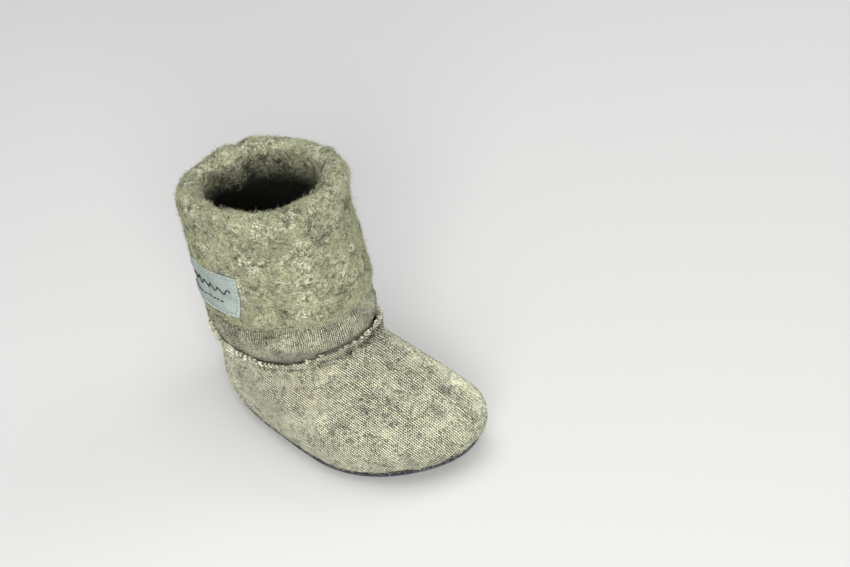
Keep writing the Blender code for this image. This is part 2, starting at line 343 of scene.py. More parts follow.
def lumps(points, scale, seed):
    """Smooth noise from -1 to 1 at each point, with lumps of about that size."""
    flat = points.reshape(-1, 3) / scale + seed * SEED_STEP
    values = np.fromiter((noise.noise(Vector(point)) for point in flat), float, len(flat))
    return values.reshape(points.shape[:-1])


def lift(grid, amounts):
    return grid + grid_normals(grid) * amounts[..., None]


def arc_lengths(grid, axis):
    """Running length along one axis of a grid of points, from its first row or column."""
    steps = np.linalg.norm(np.diff(grid, axis=axis), axis=2)
    start = np.zeros_like(steps.take([0], axis=axis))
    return np.concatenate([start, np.cumsum(steps, axis=axis)], axis=axis)


def between(grid, row, column, v, u):
    """Values of a grid that closes round its rows, at v and u between its rows and columns."""
    above = np.minimum(row + 1, len(grid) - 1)
    column, after = column % grid.shape[1], (column + 1) % grid.shape[1]
    return ((grid[row, column] * (1 - u) + grid[row, after] * u) * (1 - v)
            + (grid[above, column] * (1 - u) + grid[above, after] * u) * v)


# Meshes

# How far a rounded edge or end stands out, in thicknesses of the cloth and half thicknesses of a thread
EDGE_SHARE = 0.35
TIP_SHARE = 0.6
SLIM_ENDS = 0.55
THREAD_SIDES = 6
FIBRE_SIDES = 3


def mesh_object(name, points, faces, materials, uv=None, picks=None):
    """A smooth mesh from arrays of points and faces, with a uv a corner and a material a face."""
    faces = np.asarray(faces, dtype=np.int32)
    corners = faces.shape[1]
    mesh = bpy.data.meshes.new(name)
    mesh.vertices.add(len(points))
    mesh.vertices.foreach_set("co", np.asarray(points, dtype=np.float32).ravel())
    mesh.loops.add(faces.size)
    mesh.loops.foreach_set("vertex_index", faces.ravel())
    mesh.polygons.add(len(faces))
    mesh.polygons.foreach_set("loop_start", np.arange(0, faces.size, corners, dtype=np.int32))
    mesh.polygons.foreach_set("use_smooth", np.ones(len(faces), dtype=bool))
    for material in materials:
        mesh.materials.append(material)
    if picks is not None:
        mesh.polygons.foreach_set("material_index", np.asarray(picks, dtype=np.int32))
    if uv is not None:
        layer = mesh.uv_layers.new(name="cloth")
        layer.data.foreach_set("uv", np.asarray(uv, dtype=np.float32).ravel())
    mesh.update(calc_edges=True)
    mesh.validate()
    piece = bpy.data.objects.new(name, mesh)
    bpy.context.scene.collection.objects.link(piece)
    return piece


def place_piece(piece, slot, *nodes):
    """Let a piece ride with the bootie and stand for CAD nodes. slot is not used."""
    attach(piece, "root")
    if nodes:
        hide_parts(*nodes)
    return piece


def ring_faces(rows, columns, loop_rows):
    """Four-sided faces over a grid that closes round its rows, and from last row to first if asked."""
    row = np.arange(rows if loop_rows else rows - 1)[:, None]
    column = np.arange(columns)[None, :]
    after, above = (column + 1) % columns, (row + 1) % rows
    return np.stack([row * columns + column, row * columns + after,
                     above * columns + after, above * columns + column], axis=2).reshape(-1, 4)


def ring_uv(across, along):
    """A uv for each corner of ring_faces, from tables with one more column and row than the grid."""
    corners = [(slice(0, -1), slice(0, -1)), (slice(0, -1), slice(1, None)),
               (slice(1, None), slice(1, None)), (slice(1, None), slice(0, -1))]
    return np.stack([np.stack([across[c], along[c]], axis=2) for c in corners], axis=2).reshape(-1, 2)


def shell(name, outer, inner, uv, materials, picks):
    """A closed cloth from its two faces, rows in the same order, with rounded edges.

    uv holds across and along for the outer face, and picks the material of each row of faces: up the
    outer face, over the last edge, back down the inner face and over the first edge.
    """
    columns = outer.shape[1]
    middle = (outer + inner) / 2
    thick = np.linalg.norm(outer - inner, axis=2, keepdims=True)
    first_edge = middle[0] + unit(middle[0] - middle[1]) * thick[0] * EDGE_SHARE
    last_edge = middle[-1] + unit(middle[-1] - middle[-2]) * thick[-1] * EDGE_SHARE
    loop = np.concatenate([outer, last_edge[None], inner[::-1], first_edge[None]])
    across, along = uv
    across = np.concatenate([across, across[-1:], across[::-1], across[:1], across[:1]])
    along = np.concatenate([along, along[-1:], along[::-1], along[:1], along[:1]])
    faces = ring_faces(len(loop), columns, loop_rows=True)
    return mesh_object(name, loop.reshape(-1, 3), faces, materials, ring_uv(across, along),
                       np.repeat(picks, columns))


def triangles(quads):
    return np.vstack([quads[:, [0, 1, 2]], quads[:, [0, 2, 3]]])


def capped_faces(rows, columns):
    """Triangles over rings, with two more points after them that close the first and the last ring."""
    column = np.arange(columns)
    after = (column + 1) % columns
    first = np.stack([after, column, np.full(columns, rows * columns)], axis=1)
    end = (rows - 1) * columns
    last = np.stack([end + column, end + after, np.full(columns, rows * columns + 1)], axis=1)
    return np.vstack([triangles(ring_faces(rows, columns, loop_rows=False)), first, last])


def stack_object(name, rings, materials):
    """A closed solid through rings from the lowest to the highest, each end closed to a middle point."""
    points = np.vstack([rings.reshape(-1, 3), rings[0].mean(axis=0), rings[-1].mean(axis=0)])
    return mesh_object(name, points, capped_faces(*rings.shape[:2]), materials)


def shrunk(ring, shares):
    """Rings inside a ring, drawn towards its middle by shares."""
    middle = ring.mean(axis=0)
    return np.stack([middle + (ring - middle) * share for share in shares])


def patch_object(name, face, back, materials, uv):
    """A closed patch of cloth from the points of its face and back, which are grids of the same size."""
    rows, columns = face.shape[:2]
    index = np.arange(rows * columns).reshape(rows, columns)
    cells = np.stack([index[:-1, :-1], index[:-1, 1:], index[1:, 1:], index[1:, :-1]], axis=2).reshape(-1, 4)
    border = np.concatenate([index[0, :-1], index[:-1, -1], index[-1, :0:-1], index[:0:-1, 0]])
    after = np.roll(border, -1)
    under = rows * columns
    sides = np.stack([after, border, border + under, after + under], axis=1)
    faces = np.vstack([cells, cells[:, ::-1] + under, sides])
    points = np.vstack([face.reshape(-1, 3), back.reshape(-1, 3)])
    flat = np.vstack([uv.reshape(-1, 2)] * 2)
    return mesh_object(name, points, faces, materials, flat[faces].reshape(-1, 2))


def path_frames(paths, normals):
    """Directions along each path, across it and away from the cloth."""
    along = unit(np.gradient(paths, axis=1))
    across = unit(np.cross(along, normals[:, None, :]))
    return along, across, np.cross(across, along)


def joined_tubes(name, centres, across, upward, radii, tips, sides, materials):
    """Many closed tubes as one mesh: centres is tubes by points, and tips closes each tube's ends."""
    count, points = centres.shape[:2]
    turns = 2 * np.pi * np.arange(sides)[:, None] / sides
    ring = across[:, :, None, :] * np.cos(turns) + upward[:, :, None, :] * np.sin(turns)
    rings = centres[:, :, None, :] + radii[..., None, None] * ring
    verts = np.concatenate([rings.reshape(count, -1, 3), tips], axis=1)
    faces = capped_faces(points, sides)[None] + (np.arange(count) * verts.shape[1])[:, None, None]
    return mesh_object(name, verts.reshape(-1, 3), faces.reshape(-1, 3), materials)


def tube_object(name, paths, normals, radii, materials):
    """Many short threads with rounded ends, joined as one mesh, with a half thickness for each."""
    along, across, upward = path_frames(paths, normals)
    shares = np.ones(paths.shape[1])
    shares[0] = shares[-1] = SLIM_ENDS
    tips = np.stack([paths[:, 0] - along[:, 0] * radii[:, None] * TIP_SHARE,
                     paths[:, -1] + along[:, -1] * radii[:, None] * TIP_SHARE], axis=1)
    wide = radii[:, None] * shares[None, :]
    return joined_tubes(name, paths, across, upward, wide, tips, THREAD_SIDES, materials)


def fibre_object(name, paths, normals, radius, materials):
    """Many loose fibres joined as one mesh, each a closed spindle through its points."""
    _, across, upward = path_frames(paths, normals)
    inside = np.s_[:, 1:-1]
    wide = np.full(paths[inside].shape[:2], radius)
    return joined_tubes(name, paths[inside], across[inside], upward[inside], wide, paths[:, [0, -1]],
                        FIBRE_SIDES, materials)


def scatter(grid, normals, weights, count, rng):
    """Points and normals spread over a grid that closes round its rows, as thick as the weights say."""
    beside = np.roll(grid, -1, axis=1)
    cell = np.cross(beside[:-1] - grid[:-1], grid[1:] - grid[:-1])
    chance = np.linalg.norm(cell, axis=2) * weights[:-1]
    picked = rng.choice(chance.size, count, p=(chance / chance.sum()).ravel())
    row, column = np.unravel_index(picked, chance.shape)
    u, v = rng.random((2, count, 1))
    return between(grid, row, column, v, u), normals[row, column]


# Spread of a loose fibre's length and curl in shares, its wobble in radians, the gamma shape and scale of
# its stand off the cloth, and how deep it starts
LENGTH_SPREAD = (0.5, 1.4)
CURL_SPREAD = (0.4, 1.3)
WOBBLE = 0.15
STAND_SPREAD = (1.6, 0.6)
ROOT_DEPTH = 0.1 * MM


def fibre_paths(points, normals, kind, rng):
    """Points of a loose fibre at each place: it lies on the cloth, lifts off it and curls round."""
    count = len(points)
    lay = rng.normal(size=(count, 3))
    lay = unit(lay - normals * np.sum(lay * normals, axis=1, keepdims=True))
    side = np.cross(normals, lay)
    step = kind.length * rng.uniform(*LENGTH_SPREAD, (count, 1)) / kind.steps
    curl = kind.curl * rng.uniform(*CURL_SPREAD, (count, 1)) * rng.choice([-1.0, 1.0], (count, 1))
    heading = curl * np.arange(kind.steps)[None, :] / kind.steps
    heading = heading + rng.normal(0, WOBBLE, (count, kind.steps))
    forward = np.cumsum(np.cos(heading) * step, axis=1)[..., None]
    sideways = np.cumsum(np.sin(heading) * step, axis=1)[..., None]
    rise = kind.stand * rng.gamma(*STAND_SPREAD, (count, kind.steps, 1))
    rest = (points[:, None, :] + lay[:, None, :] * forward + side[:, None, :] * sideways
            + normals[:, None, :] * rise)
    return np.concatenate([(points - normals * ROOT_DEPTH)[:, None, :], rest], axis=1)


# The foot and the leg as built in cloth

# Places of the foot's rows between its levels, points round the bootie, rows of knit turned in at the lip,
# and rows of each stretch of the leg's cloth with the rows at which the stretches start
FOOT_PLACES = np.concatenate([np.linspace(0, 5, 62, endpoint=False), np.linspace(5, LIP_LEVEL, 26)])
ROUND = 260
LIP_ROWS = 14
TUCK_ROWS, JOIN_ROWS, TUBE_ROWS, FOLD_ROWS, CUFF_ROWS = 9, 2, 28, 15, 42
LIP_ROW = TUCK_ROWS + JOIN_ROWS
FOLD_START = LIP_ROW + TUBE_ROWS
CUFF_START = FOLD_START + FOLD_ROWS
LEG_ROWS = CUFF_START + CUFF_ROWS

# Unevenness of a cloth: how far it stands out, the size of the lumps, and a seed
Lumps = namedtuple("Lumps", "out size seed")
FOOT_LUMPS = (Lumps(0.30 * MM, 9 * MM, 1), Lumps(0.14 * MM, 3.6 * MM, 2))
FOOT_HEM_LUMPS = (Lumps(0.8 * MM, 9 * MM, 15), Lumps(0.5 * MM, 4 * MM, 16))
LIP_WAVES = (Lumps(1.0, 7 * MM, 4),)
LIP_RIPPLES = (Lumps(0.6, 2.6 * MM, 5),)
PUCKER_LUMPS = (Lumps(1.5, 12 * MM, 3),)
LEG_LUMPS = (Lumps(0.75 * MM, 11 * MM, 6), Lumps(0.45 * MM, 4.5 * MM, 7))
CUFF_HEM_LUMPS = (Lumps(0.9 * MM, 9 * MM, 8),)

# What runs along an edge: the way from the edge to its middle, half width, and how far the cloth stands out
Ridge = namedtuple("Ridge", "middle width out")
LIP_ROLL = Ridge(1.2 * MM, 1.1 * MM, 0.45 * MM)
LIP_GROOVE = Ridge(3.1 * MM, 0.8 * MM, -0.75 * MM)
LIP_PUCKERS = Ridge(5.0 * MM, 1.6 * MM, 0.16 * MM)

# What fades with the way from an edge: how far the cloth stands out at the edge, and the way it takes
Fade = namedtuple("Fade", "out way")
LIP_CURL = Fade(-0.5 * MM, 1.5 * MM)
LIP_GAPE = Fade(0.9 * MM, 3 * MM)
LIP_WAVE = Fade(0.8 * MM, 2.5 * MM)
SOLE_SEAM = Fade(-0.5 * MM, 1.4 * MM)
CUFF_HEM = Fade(-1.5 * MM, 2.5 * MM)
FOOT_HEM_WAY = 4 * MM
CUFF_HEM_WAY = 4 * MM

# What lies to one side of the bootie: its middle and half width in degrees round it
Arc = namedtuple("Arc", "middle width")
GAPE_ARC = Arc(42, 17)
TOE_ARC = Arc(15, 42)
BALL_ARC = Arc(-75, 55)
HEEL_ARC = Arc(-118, 32)
FRONT_ARC = Arc(0, 45)

# Puckers and gathers of the seams, how far the sole shows and the hem droops at the heel, and how the leg's
# cloth is drawn in at the lip, thins towards its hem and swells at the rim
PUCKER_STEP = 3.1 * MM
PUCKER_SHARE = 0.25
GATHER_STEP = 3.6 * MM
GATHER_SHARE = 0.2
BALL_SHOWS = 0.45
SOLE_SHOWS = 0.8 * MM
HEEL_DROOP = 0.9 * MM
LIP_FLAT = np.array([1, 1, 0.3])
HEM_FLAT = np.array([1, 1, 0.2])
INSIDE_ROUGH = 0.35
LEG_SNUG = 1.2 * MM
FRONT_SNUG = 1.1 * MM
SNUG_ROWS = 5
HEM_THINS = 8 * MM
HEM_SHARE = 0.30
CREST_SWELLS = 0.8 * MM
CREST_ROWS = 12


def round_angles():
    """Angles round the foot or leg, from the middle of the heel by the outer side and the toe."""
    return -np.pi + 2 * np.pi * np.arange(ROUND) / ROUND


def bump_shape(distance, middle, width):
    return np.exp(-((distance - middle) / width) ** 2)


def ridge(distance, shape):
    return shape.out * bump_shape(distance, shape.middle, shape.width)


def fade(distance, shape):
    return shape.out * np.exp(-distance / shape.way)


def on_arc(arc):
    """1 in the middle of an arc round the bootie, less to its sides, one value a column of the grid."""
    return bump_shape(np.degrees(round_angles()), arc.middle, arc.width)


def uneven(points, kinds):
    return sum(kind.out * lumps(points, kind.size, kind.seed) for kind in kinds)


def foot_amounts(grid):
    """How far the jersey stands out of its plain form: lumps, dents, the rolled lip and the sewn seams."""
    amounts = uneven(grid, FOOT_LUMPS)
    for dent in FOOT_DENTS:
        away = np.linalg.norm(grid - np.array([dent.x, dent.y, dent.z]), axis=2)
        amounts += dent.out * np.exp(-(away / dent.reach) ** 2)
    from_sole = arc_lengths(grid, 0)
    from_lip = from_sole[-1:] - from_sole
    round_lip = arc_lengths(grid[-1:], 1)
    pucker = np.sin(2 * np.pi * round_lip / PUCKER_STEP + uneven(grid[-1:], PUCKER_LUMPS))
    amounts += ridge(from_lip, LIP_ROLL) + fade(from_lip, LIP_CURL)
    amounts += ridge(from_lip, LIP_GROOVE) * (1 - PUCKER_SHARE + PUCKER_SHARE * pucker)
    amounts += ridge(from_lip, LIP_PUCKERS) * pucker
    amounts += on_arc(GAPE_ARC) * fade(from_lip, LIP_GAPE)
    gather = np.sin(2 * np.pi * arc_lengths(grid[:1], 1) / GATHER_STEP)
    amounts += fade(from_sole, SOLE_SEAM) * (1 - GATHER_SHARE + GATHER_SHARE * gather)
    return amounts, from_lip


def sole_shows():
    """Share by which the sole comes out from under the foot: most at the inner side of the toe."""
    return np.maximum(on_arc(TOE_ARC), BALL_SHOWS * on_arc(BALL_ARC))


def foot_faces():
    """Outer and inner face of the jersey foot."""
    plain = foot_grid(FOOT_PLACES, round_angles())
    amounts, from_lip = foot_amounts(plain)
    outer = lift(plain, amounts)
    wave = uneven(plain[-1:] * LIP_FLAT, LIP_WAVES) + uneven(plain[-1:], LIP_RIPPLES)
    outer[..., 2] += wave * fade(from_lip, LIP_WAVE)
    hem = uneven(plain[:1], FOOT_HEM_LUMPS) + SOLE_SHOWS * sole_shows() - HEEL_DROOP * on_arc(HEEL_ARC)
    outer[..., 2] += hem * np.exp(-arc_lengths(plain, 0) / FOOT_HEM_WAY)
    inner = outer - grid_normals(outer) * sizes().jersey
    return outer, inner


def leg_middle():
    """Middle of the leg's cloth: tucked in the foot, up the tube, over the fold and down the cuff."""
    angles = round_angles()
    tuck_rows = rows_at(TUCK_RINGS, np.linspace(0, len(TUCK_RINGS) - 1, TUCK_ROWS))
    place, inset, front = tuck_rows.T
    tuck = inset_rings(foot_grid(place, angles), inset[:, None, None], front[:, None, None])
    tube = leg_grid(TUBE_LEVELS, np.linspace(0, len(TUBE_LEVELS) - 1, TUBE_ROWS), angles)
    shares = np.linspace(0, 1, JOIN_ROWS + 2)[1:-1, None, None]
    join = tuck[-1] * (1 - shares) + tube[0] * shares
    cuff = leg_grid(CUFF_LEVELS, np.linspace(0, len(CUFF_LEVELS) - 1, CUFF_ROWS), angles)
    half = (cuff[0] - tube[-1]) / 2
    turns = np.linspace(0, np.pi, FOLD_ROWS + 2)[1:-1, None, None]
    rise = np.linalg.norm(half, axis=1, keepdims=True) * UP
    fold = tube[-1] + half - half * np.cos(turns) + rise * np.sin(turns)
    return np.concatenate([tuck, join, tube, fold, cuff])


def soft_folds(folds, grid):
    """How far the cloth's fleecy side stands out, from its folds."""
    amounts = np.zeros(grid.shape[:2])
    degrees = np.degrees(round_angles())[None, :]
    for fold in folds:
        turn = (degrees - fold.angle + 180) % 360 - 180
        amounts += (fold.out * np.exp(-(turn / fold.reach) ** 2)
                    * bump_shape(grid[..., 2], fold.height, fold.spread))
    return amounts


def leg_faces():
    """The smooth face and the fleecy face of the leg's cloth."""
    middle = leg_middle()
    rows = np.arange(LEG_ROWS)[:, None]
    turned = np.clip((rows - FOLD_START) / FOLD_ROWS, 0, 1)
    amounts = turned * soft_folds(CUFF_FOLDS, middle)
    amounts += (1 - turned) * soft_folds(TUBE_FOLDS, middle)
    amounts += (INSIDE_ROUGH + (1 - INSIDE_ROUGH) * turned) * uneven(middle, LEG_LUMPS)
    to_hem = arc_lengths(middle, 0)
    to_hem = to_hem[-1:] - to_hem
    snug = LEG_SNUG + FRONT_SNUG * on_arc(FRONT_ARC)
    amounts -= snug * bump_shape(rows, LIP_ROW + 1, SNUG_ROWS)
    amounts += fade(to_hem, CUFF_HEM)
    middle = lift(middle, -amounts)
    whole = np.clip(to_hem / HEM_THINS, 0, 1)
    thick = sizes().fleece * (HEM_SHARE + (1 - HEM_SHARE) * whole * (2 - whole))
    thick = thick + CREST_SWELLS * bump_shape(rows, FOLD_START + FOLD_ROWS / 2, CREST_ROWS)
    offset = grid_normals(middle) * (thick / 2)[..., None]
    middle[..., 2] += uneven(middle[-1:] * HEM_FLAT, CUFF_HEM_LUMPS) * np.exp(-to_hem / CUFF_HEM_WAY)
    return middle + offset, middle - offset


# Cloth coordinates


# Grid that the jersey is laid flat on, the lean of its grain towards the toe, how firmly rows still count
# where they meet the cloth at a slant, and where along the foot they begin to run down over the toe
FLAT_PLACES, FLAT_ROUND = 25, 65
GRAIN_TOEWARD = 0.10
LEAST_FIRM = 0.5
FIRM_POWER = 0.8
FIRM_BASE = 0.05
RUNS_DOWN = ([-20 * MM, 30 * MM], [0.3, 1.0])


def flat_foot(places, angles):
    """Where each point of the foot lies when its jersey is laid flat, stitches running along the foot."""
    coarse_places = np.linspace(0, LIP_LEVEL, FLAT_PLACES)
    coarse_angles = np.linspace(-np.pi, np.pi, FLAT_ROUND)
    grid = foot_grid(coarse_places, coarse_angles)
    normals = grid_normals(grid, closed=False)
    grain = sizes().grain
    runs = np.cross(np.array([GRAIN_TOEWARD, math.cos(grain), math.sin(grain)]), normals)
    firm = np.linalg.norm(runs, axis=2)
    down = np.interp(grid[..., 0], *RUNS_DOWN)
    runs *= (np.sign(runs[..., 0] - down * runs[..., 2]) / firm)[..., None]
    across = np.cross(normals, runs) * (np.maximum(firm, LEAST_FIRM) ** FIRM_POWER)[..., None]
    flat = even_sheet(grid, np.stack([runs, across], axis=2), firm ** 2 + FIRM_BASE)
    tables = []
    for axis in (0, 1):
        by_row = np.array([np.interp(angles, coarse_angles, row) for row in flat[..., axis]])
        tables.append(np.array([np.interp(places, coarse_places, column) for column in by_row.T]).T)
    return tables


def even_sheet(grid, ways, firm):
    """Flat places of a grid's points, whose steps follow two directions on it as evenly as they can."""
    index = np.arange(grid.shape[0] * grid.shape[1]).reshape(grid.shape[:2])
    matrix = np.zeros((index.size, index.size))
    sums = np.zeros((index.size, 2))
    for first, last in ((np.s_[:-1, :], np.s_[1:, :]), (np.s_[:, :-1], np.s_[:, 1:])):
        a, b = index[first].ravel(), index[last].ravel()
        weight = ((firm[first] + firm[last]) / 2).ravel()
        step = (grid[last] - grid[first])[:, :, None, :]
        goal = ((ways[first] + ways[last]) / 2 * step).sum(axis=3).reshape(-1, 2) * weight[:, None]
        for one, other, sign in ((a, b, -1), (b, a, 1)):
            np.add.at(matrix, (one, one), weight)
            np.add.at(matrix, (one, other), -weight)
            np.add.at(sums, one, sign * goal)
    matrix[0, 0] += 1.0
    return np.linalg.solve(matrix, sums).reshape(*grid.shape[:2], 2)


# Materials


class Nodes:
    """Short calls that add shader nodes to a tree and wire them."""

    def __init__(self, tree):
        self.tree = tree

    def add(self, kind, settings=(), **inputs):
        made = self.tree.nodes.new(kind)
        for name, value in dict(settings).items():
            setattr(made, name, value)
        for name, value in inputs.items():
            self.feed(made.inputs[name.replace("_", " ")], value)
        return made

    def feed(self, socket, value):
        if isinstance(value, bpy.types.NodeSocket):
            self.tree.links.new(value, socket)
        else:
            socket.default_value = value

    def maths(self, operation, *values):
        made = self.add("ShaderNodeMath", {"operation": operation})
        for socket, value in zip(made.inputs, values):
            self.feed(socket, value)
        return made.outputs[0]

    def times(self, first, second):
        return self.maths("MULTIPLY", first, second)

    def plus(self, first, second):
        return self.maths("ADD", first, second)

    def most(self, first, second):
        return self.maths("MAXIMUM", first, second)

    def rest(self, value):
        """What a share leaves of 1."""
        return self.maths("SUBTRACT", 1.0, value)

    def swing(self, value, share):
        """Noise from 0 to 1 as a swing about zero."""
        return self.times(self.maths("SUBTRACT", value, 0.5), share)

    def zigzag(self, value):
        """1 where value is 0 or 1, and 0 half way between."""
        return self.maths("ABSOLUTE", self.maths("SUBTRACT", self.times(value, 2.0), 1.0))

    def coords(self):
        """Points in the bootie's own space."""
        return self.add("ShaderNodeTexCoord").outputs["Object"]

    def split(self, vector):
        return self.add("ShaderNodeSeparateXYZ", Vector=vector).outputs

    def cloth(self):
        """The cloth's own coordinates, in metres."""
        return self.split(self.add("ShaderNodeUVMap", {"uv_map": "cloth"}).outputs["UV"])

    def group(self, name, make, **inputs):
        """Outputs of a shared group, which is made when it is first asked for."""
        tree = bpy.data.node_groups.get(name) or make()
        return self.add("ShaderNodeGroup", {"node_tree": tree}, **inputs).outputs

    def span(self, value, low, high, start=0.0, end=1.0):
        """value from low to high as start to end, softly and no further."""
        made = self.add("ShaderNodeMapRange", {"interpolation_type": "SMOOTHSTEP"}, Value=value)
        for name, number in (("From Min", low), ("From Max", high), ("To Min", start), ("To Max", end)):
            made.inputs[name].default_value = number
        return made.outputs["Result"]

    def mix(self, share, first, second):
        made = self.tree.nodes.new("ShaderNodeMix")
        made.data_type = "RGBA"
        for socket, value in ((made.inputs[0], share), (made.inputs[6], first), (made.inputs[7], second)):
            self.feed(socket, value)
        return made.outputs[2]

    def noise(self, coords, scale, detail=2.0, distortion=0.0, rough=0.5):
        made = self.add("ShaderNodeTexNoise", Vector=coords, Scale=scale, Detail=detail,
                        Distortion=distortion, Roughness=rough)
        return made.outputs[0]


def node_group(name, inputs, outputs):
    """A new shader group with named sockets: inputs and outputs map a name to its kind and default."""
    group = bpy.data.node_groups.new(name, "ShaderNodeTree")
    kinds = {"colour": "NodeSocketColor", "value": "NodeSocketFloat", "vector": "NodeSocketVector"}
    for socket, (kind, default) in inputs.items():
        made = group.interface.new_socket(socket, in_out="INPUT", socket_type=kinds[kind])
        if default is not None:
            made.default_value = default
    for socket, kind in outputs.items():
        group.interface.new_socket(socket, in_out="OUTPUT", socket_type=kinds[kind])
    nodes = Nodes(group)
    return nodes, nodes.add("NodeGroupInput").outputs, nodes.add("NodeGroupOutput").inputs


def melange_group():
    """Flecked wool: blotches, pale and dark fibres, and a fibrous height."""
    nodes, given, result = node_group(
        "wool_melange",
        {"Pale": ("colour", None), "Grey": ("colour", None), "Dark": ("colour", None),
         "Fleck": ("value", 0.5), "Cloud": ("value", 0.4)},
        {"Color": "colour", "Height": "value"})
    coords = nodes.coords()
    blotch = nodes.noise(coords, 95, 2.0)
    cloud = nodes.noise(coords, 230, 3.0, 0.8)
    clump = nodes.noise(coords, 430, 3.0, 1.4)
    fibre = nodes.noise(coords, 1150, 3.0, 2.5)
    fleck = nodes.noise(coords, 620, 2.0, 3.0)
    strand = nodes.noise(coords, 900, 2.0, 4.0)
    tone = nodes.plus(nodes.times(clump, 0.6), nodes.times(fibre, 0.55))
    tone = nodes.plus(tone, nodes.swing(blotch, 0.5))
    cool = nodes.mix(0.45, given["Pale"], rgba(colours().wool_cool))
    pale = nodes.mix(nodes.span(nodes.noise(coords, 130, 2.0, 0.5), 0.40, 0.60), given["Pale"], cool)
    base = nodes.mix(nodes.span(tone, 0.46, 0.70), given["Grey"], pale)
    darker = nodes.times(nodes.span(fleck, 0.535, 0.58), nodes.span(blotch, 0.25, 0.75, 0.45, 1.0))
    base = nodes.mix(nodes.times(darker, given["Fleck"]), base, given["Dark"])
    clouded = nodes.times(nodes.span(cloud, 0.50, 0.72), given["Cloud"])
    base = nodes.mix(clouded, base, given["Dark"])
    brighter = nodes.times(nodes.span(strand, 0.62, 0.72), 0.55)
    nodes.feed(result["Color"], nodes.mix(brighter, base, pale))
    nodes.feed(result["Height"], nodes.plus(nodes.times(fibre, 0.6), nodes.times(clump, 0.7)))
    return nodes.tree


# Where the foot's stitches are worn off: size of the patches along the edge, how far to the inner side it
# starts and ends, the way to the outer corner of the heel, and how far that way it starts and ends
WEAR_PATCHES = 16 * MM
INNER_WEAR = (20 * MM, 34 * MM)
HEEL_WAY = (-0.755, -0.656)
HEEL_WEAR = (46 * MM, 56 * MM)
MOST_WEAR = 0.9


def stitch_group():
    """Jersey stitches on the cloth's own coordinates: a height, and the dark gaps between the loops."""
    nodes, given, result = node_group(
        "jersey_stitches",
        {"Wale": ("value", 0.001), "Course": ("value", 0.001), "Felting": ("value", 0.4),
         "Worn Side": ("value", 1.0), "Drift": ("value", 0.35)},
        {"Height": "value", "Gap": "value", "Fleck": "value"})
    coords = nodes.coords()
    flat = nodes.cloth()
    drift = nodes.swing(nodes.noise(coords, 150, 1.0), given["Drift"])
    sway = nodes.swing(nodes.noise(coords, 170, 1.0), 0.8)
    across = nodes.plus(nodes.maths("DIVIDE", flat[1], given["Wale"]), drift)
    along = nodes.plus(nodes.maths("DIVIDE", flat[0], given["Course"]), sway)
    off = nodes.zigzag(nodes.maths("FRACT", across))
    line = nodes.zigzag(off)
    step = nodes.zigzag(nodes.maths("FRACT", nodes.plus(along, nodes.times(off, 0.5))))
    worn, matted = wear_shares(nodes, coords, given["Worn Side"])
    felted = nodes.times(nodes.span(nodes.noise(coords, 75, 3.0), 0.42, 0.72), given["Felting"])
    keep = nodes.times(nodes.rest(nodes.most(felted, worn)), nodes.rest(matted))
    streak = nodes.add("ShaderNodeCombineXYZ", X=nodes.times(along, 0.55), Y=nodes.times(across, 2.9))
    fleck = nodes.span(nodes.noise(streak.outputs[0], 1.0, 3.0, 0.4, 0.65), 0.44, 0.64)
    crowd = nodes.span(nodes.noise(coords, 210, 3.0, 0.6), 0.40, 0.62, 0.30, 1.0)
    crowd = nodes.times(crowd, nodes.rest(nodes.times(worn, 0.7)))
    nodes.feed(result["Fleck"], nodes.times(fleck, crowd))
    gap = nodes.times(nodes.span(line, 0.12, 0.46), nodes.span(step, 0.05, 0.70, 0.50, 1.0))
    speckle = nodes.span(nodes.noise(coords, 1000, 3.0, 0.5, 0.7), 0.48, 0.58, 0.05, 0.85)
    cover = nodes.most(matted, nodes.times(worn, 0.6))
    nodes.feed(result["Gap"], nodes.plus(nodes.times(gap, keep), nodes.times(cover, speckle)))
    crown = nodes.rest(nodes.maths("POWER", line, 2.5))
    dip = nodes.rest(nodes.times(nodes.maths("POWER", step, 2.0), 0.5))
    nodes.feed(result["Height"], nodes.times(nodes.times(crown, dip), keep))
    return nodes.tree


def wear_shares(nodes, coords, worn_side):
    """Shares by which the stitches are worn off on the inner side, and matted at the heel's outer corner."""
    place = nodes.split(coords)
    patchy = nodes.times(nodes.noise(coords, 110, 2.0), WEAR_PATCHES)
    side = nodes.times(place[1], worn_side)
    heelward = nodes.plus(nodes.times(place[0], HEEL_WAY[0]), nodes.times(place[1], HEEL_WAY[1]))
    worn = nodes.span(nodes.plus(patchy, side), *INNER_WEAR, 0.0, MOST_WEAR)
    matted = nodes.span(nodes.plus(patchy, heelward), *HEEL_WEAR, 0.0, MOST_WEAR)
    return worn, matted


def felt_group():
    """Pressed felt: short fibres in two tones."""
    nodes, given, result = node_group(
        "pressed_felt", {"Tint": ("colour", None), "Lint": ("colour", None)},
        {"Color": "colour", "Height": "value"})
    coords = nodes.coords()
    fibre = nodes.noise(coords, 1300, 3.0, 2.5)
    clump = nodes.noise(coords, 300, 2.0, 1.0)
    lint = nodes.times(nodes.span(fibre, 0.5, 0.75), nodes.span(clump, 0.3, 0.8, 0.1, 0.6))
    nodes.feed(result["Color"], nodes.mix(lint, given["Tint"], given["Lint"]))
    nodes.feed(result["Height"], nodes.plus(fibre, clump))
    return nodes.tree


# Woven tape: step of its threads, and where the painted shade at its cut edge, the painted highlight on its
# border and the painted shade in its sewn groove begin and end, with the share each gives
TAPE_STEP = 0.45 * MM
TAPE_CUT_SHADE = (0.05 * MM, 0.35 * MM, 0.55, 1.0)
TAPE_BORDER_HIGHLIGHT = (0.9 * MM, 1.2 * MM, 1.18, 1.0)
GROOVE_IN = (1.0 * MM, 1.35 * MM)
GROOVE_OUT = (1.5 * MM, 2.0 * MM, 1.0, 0.0)
GROOVE_SHADE = 0.45


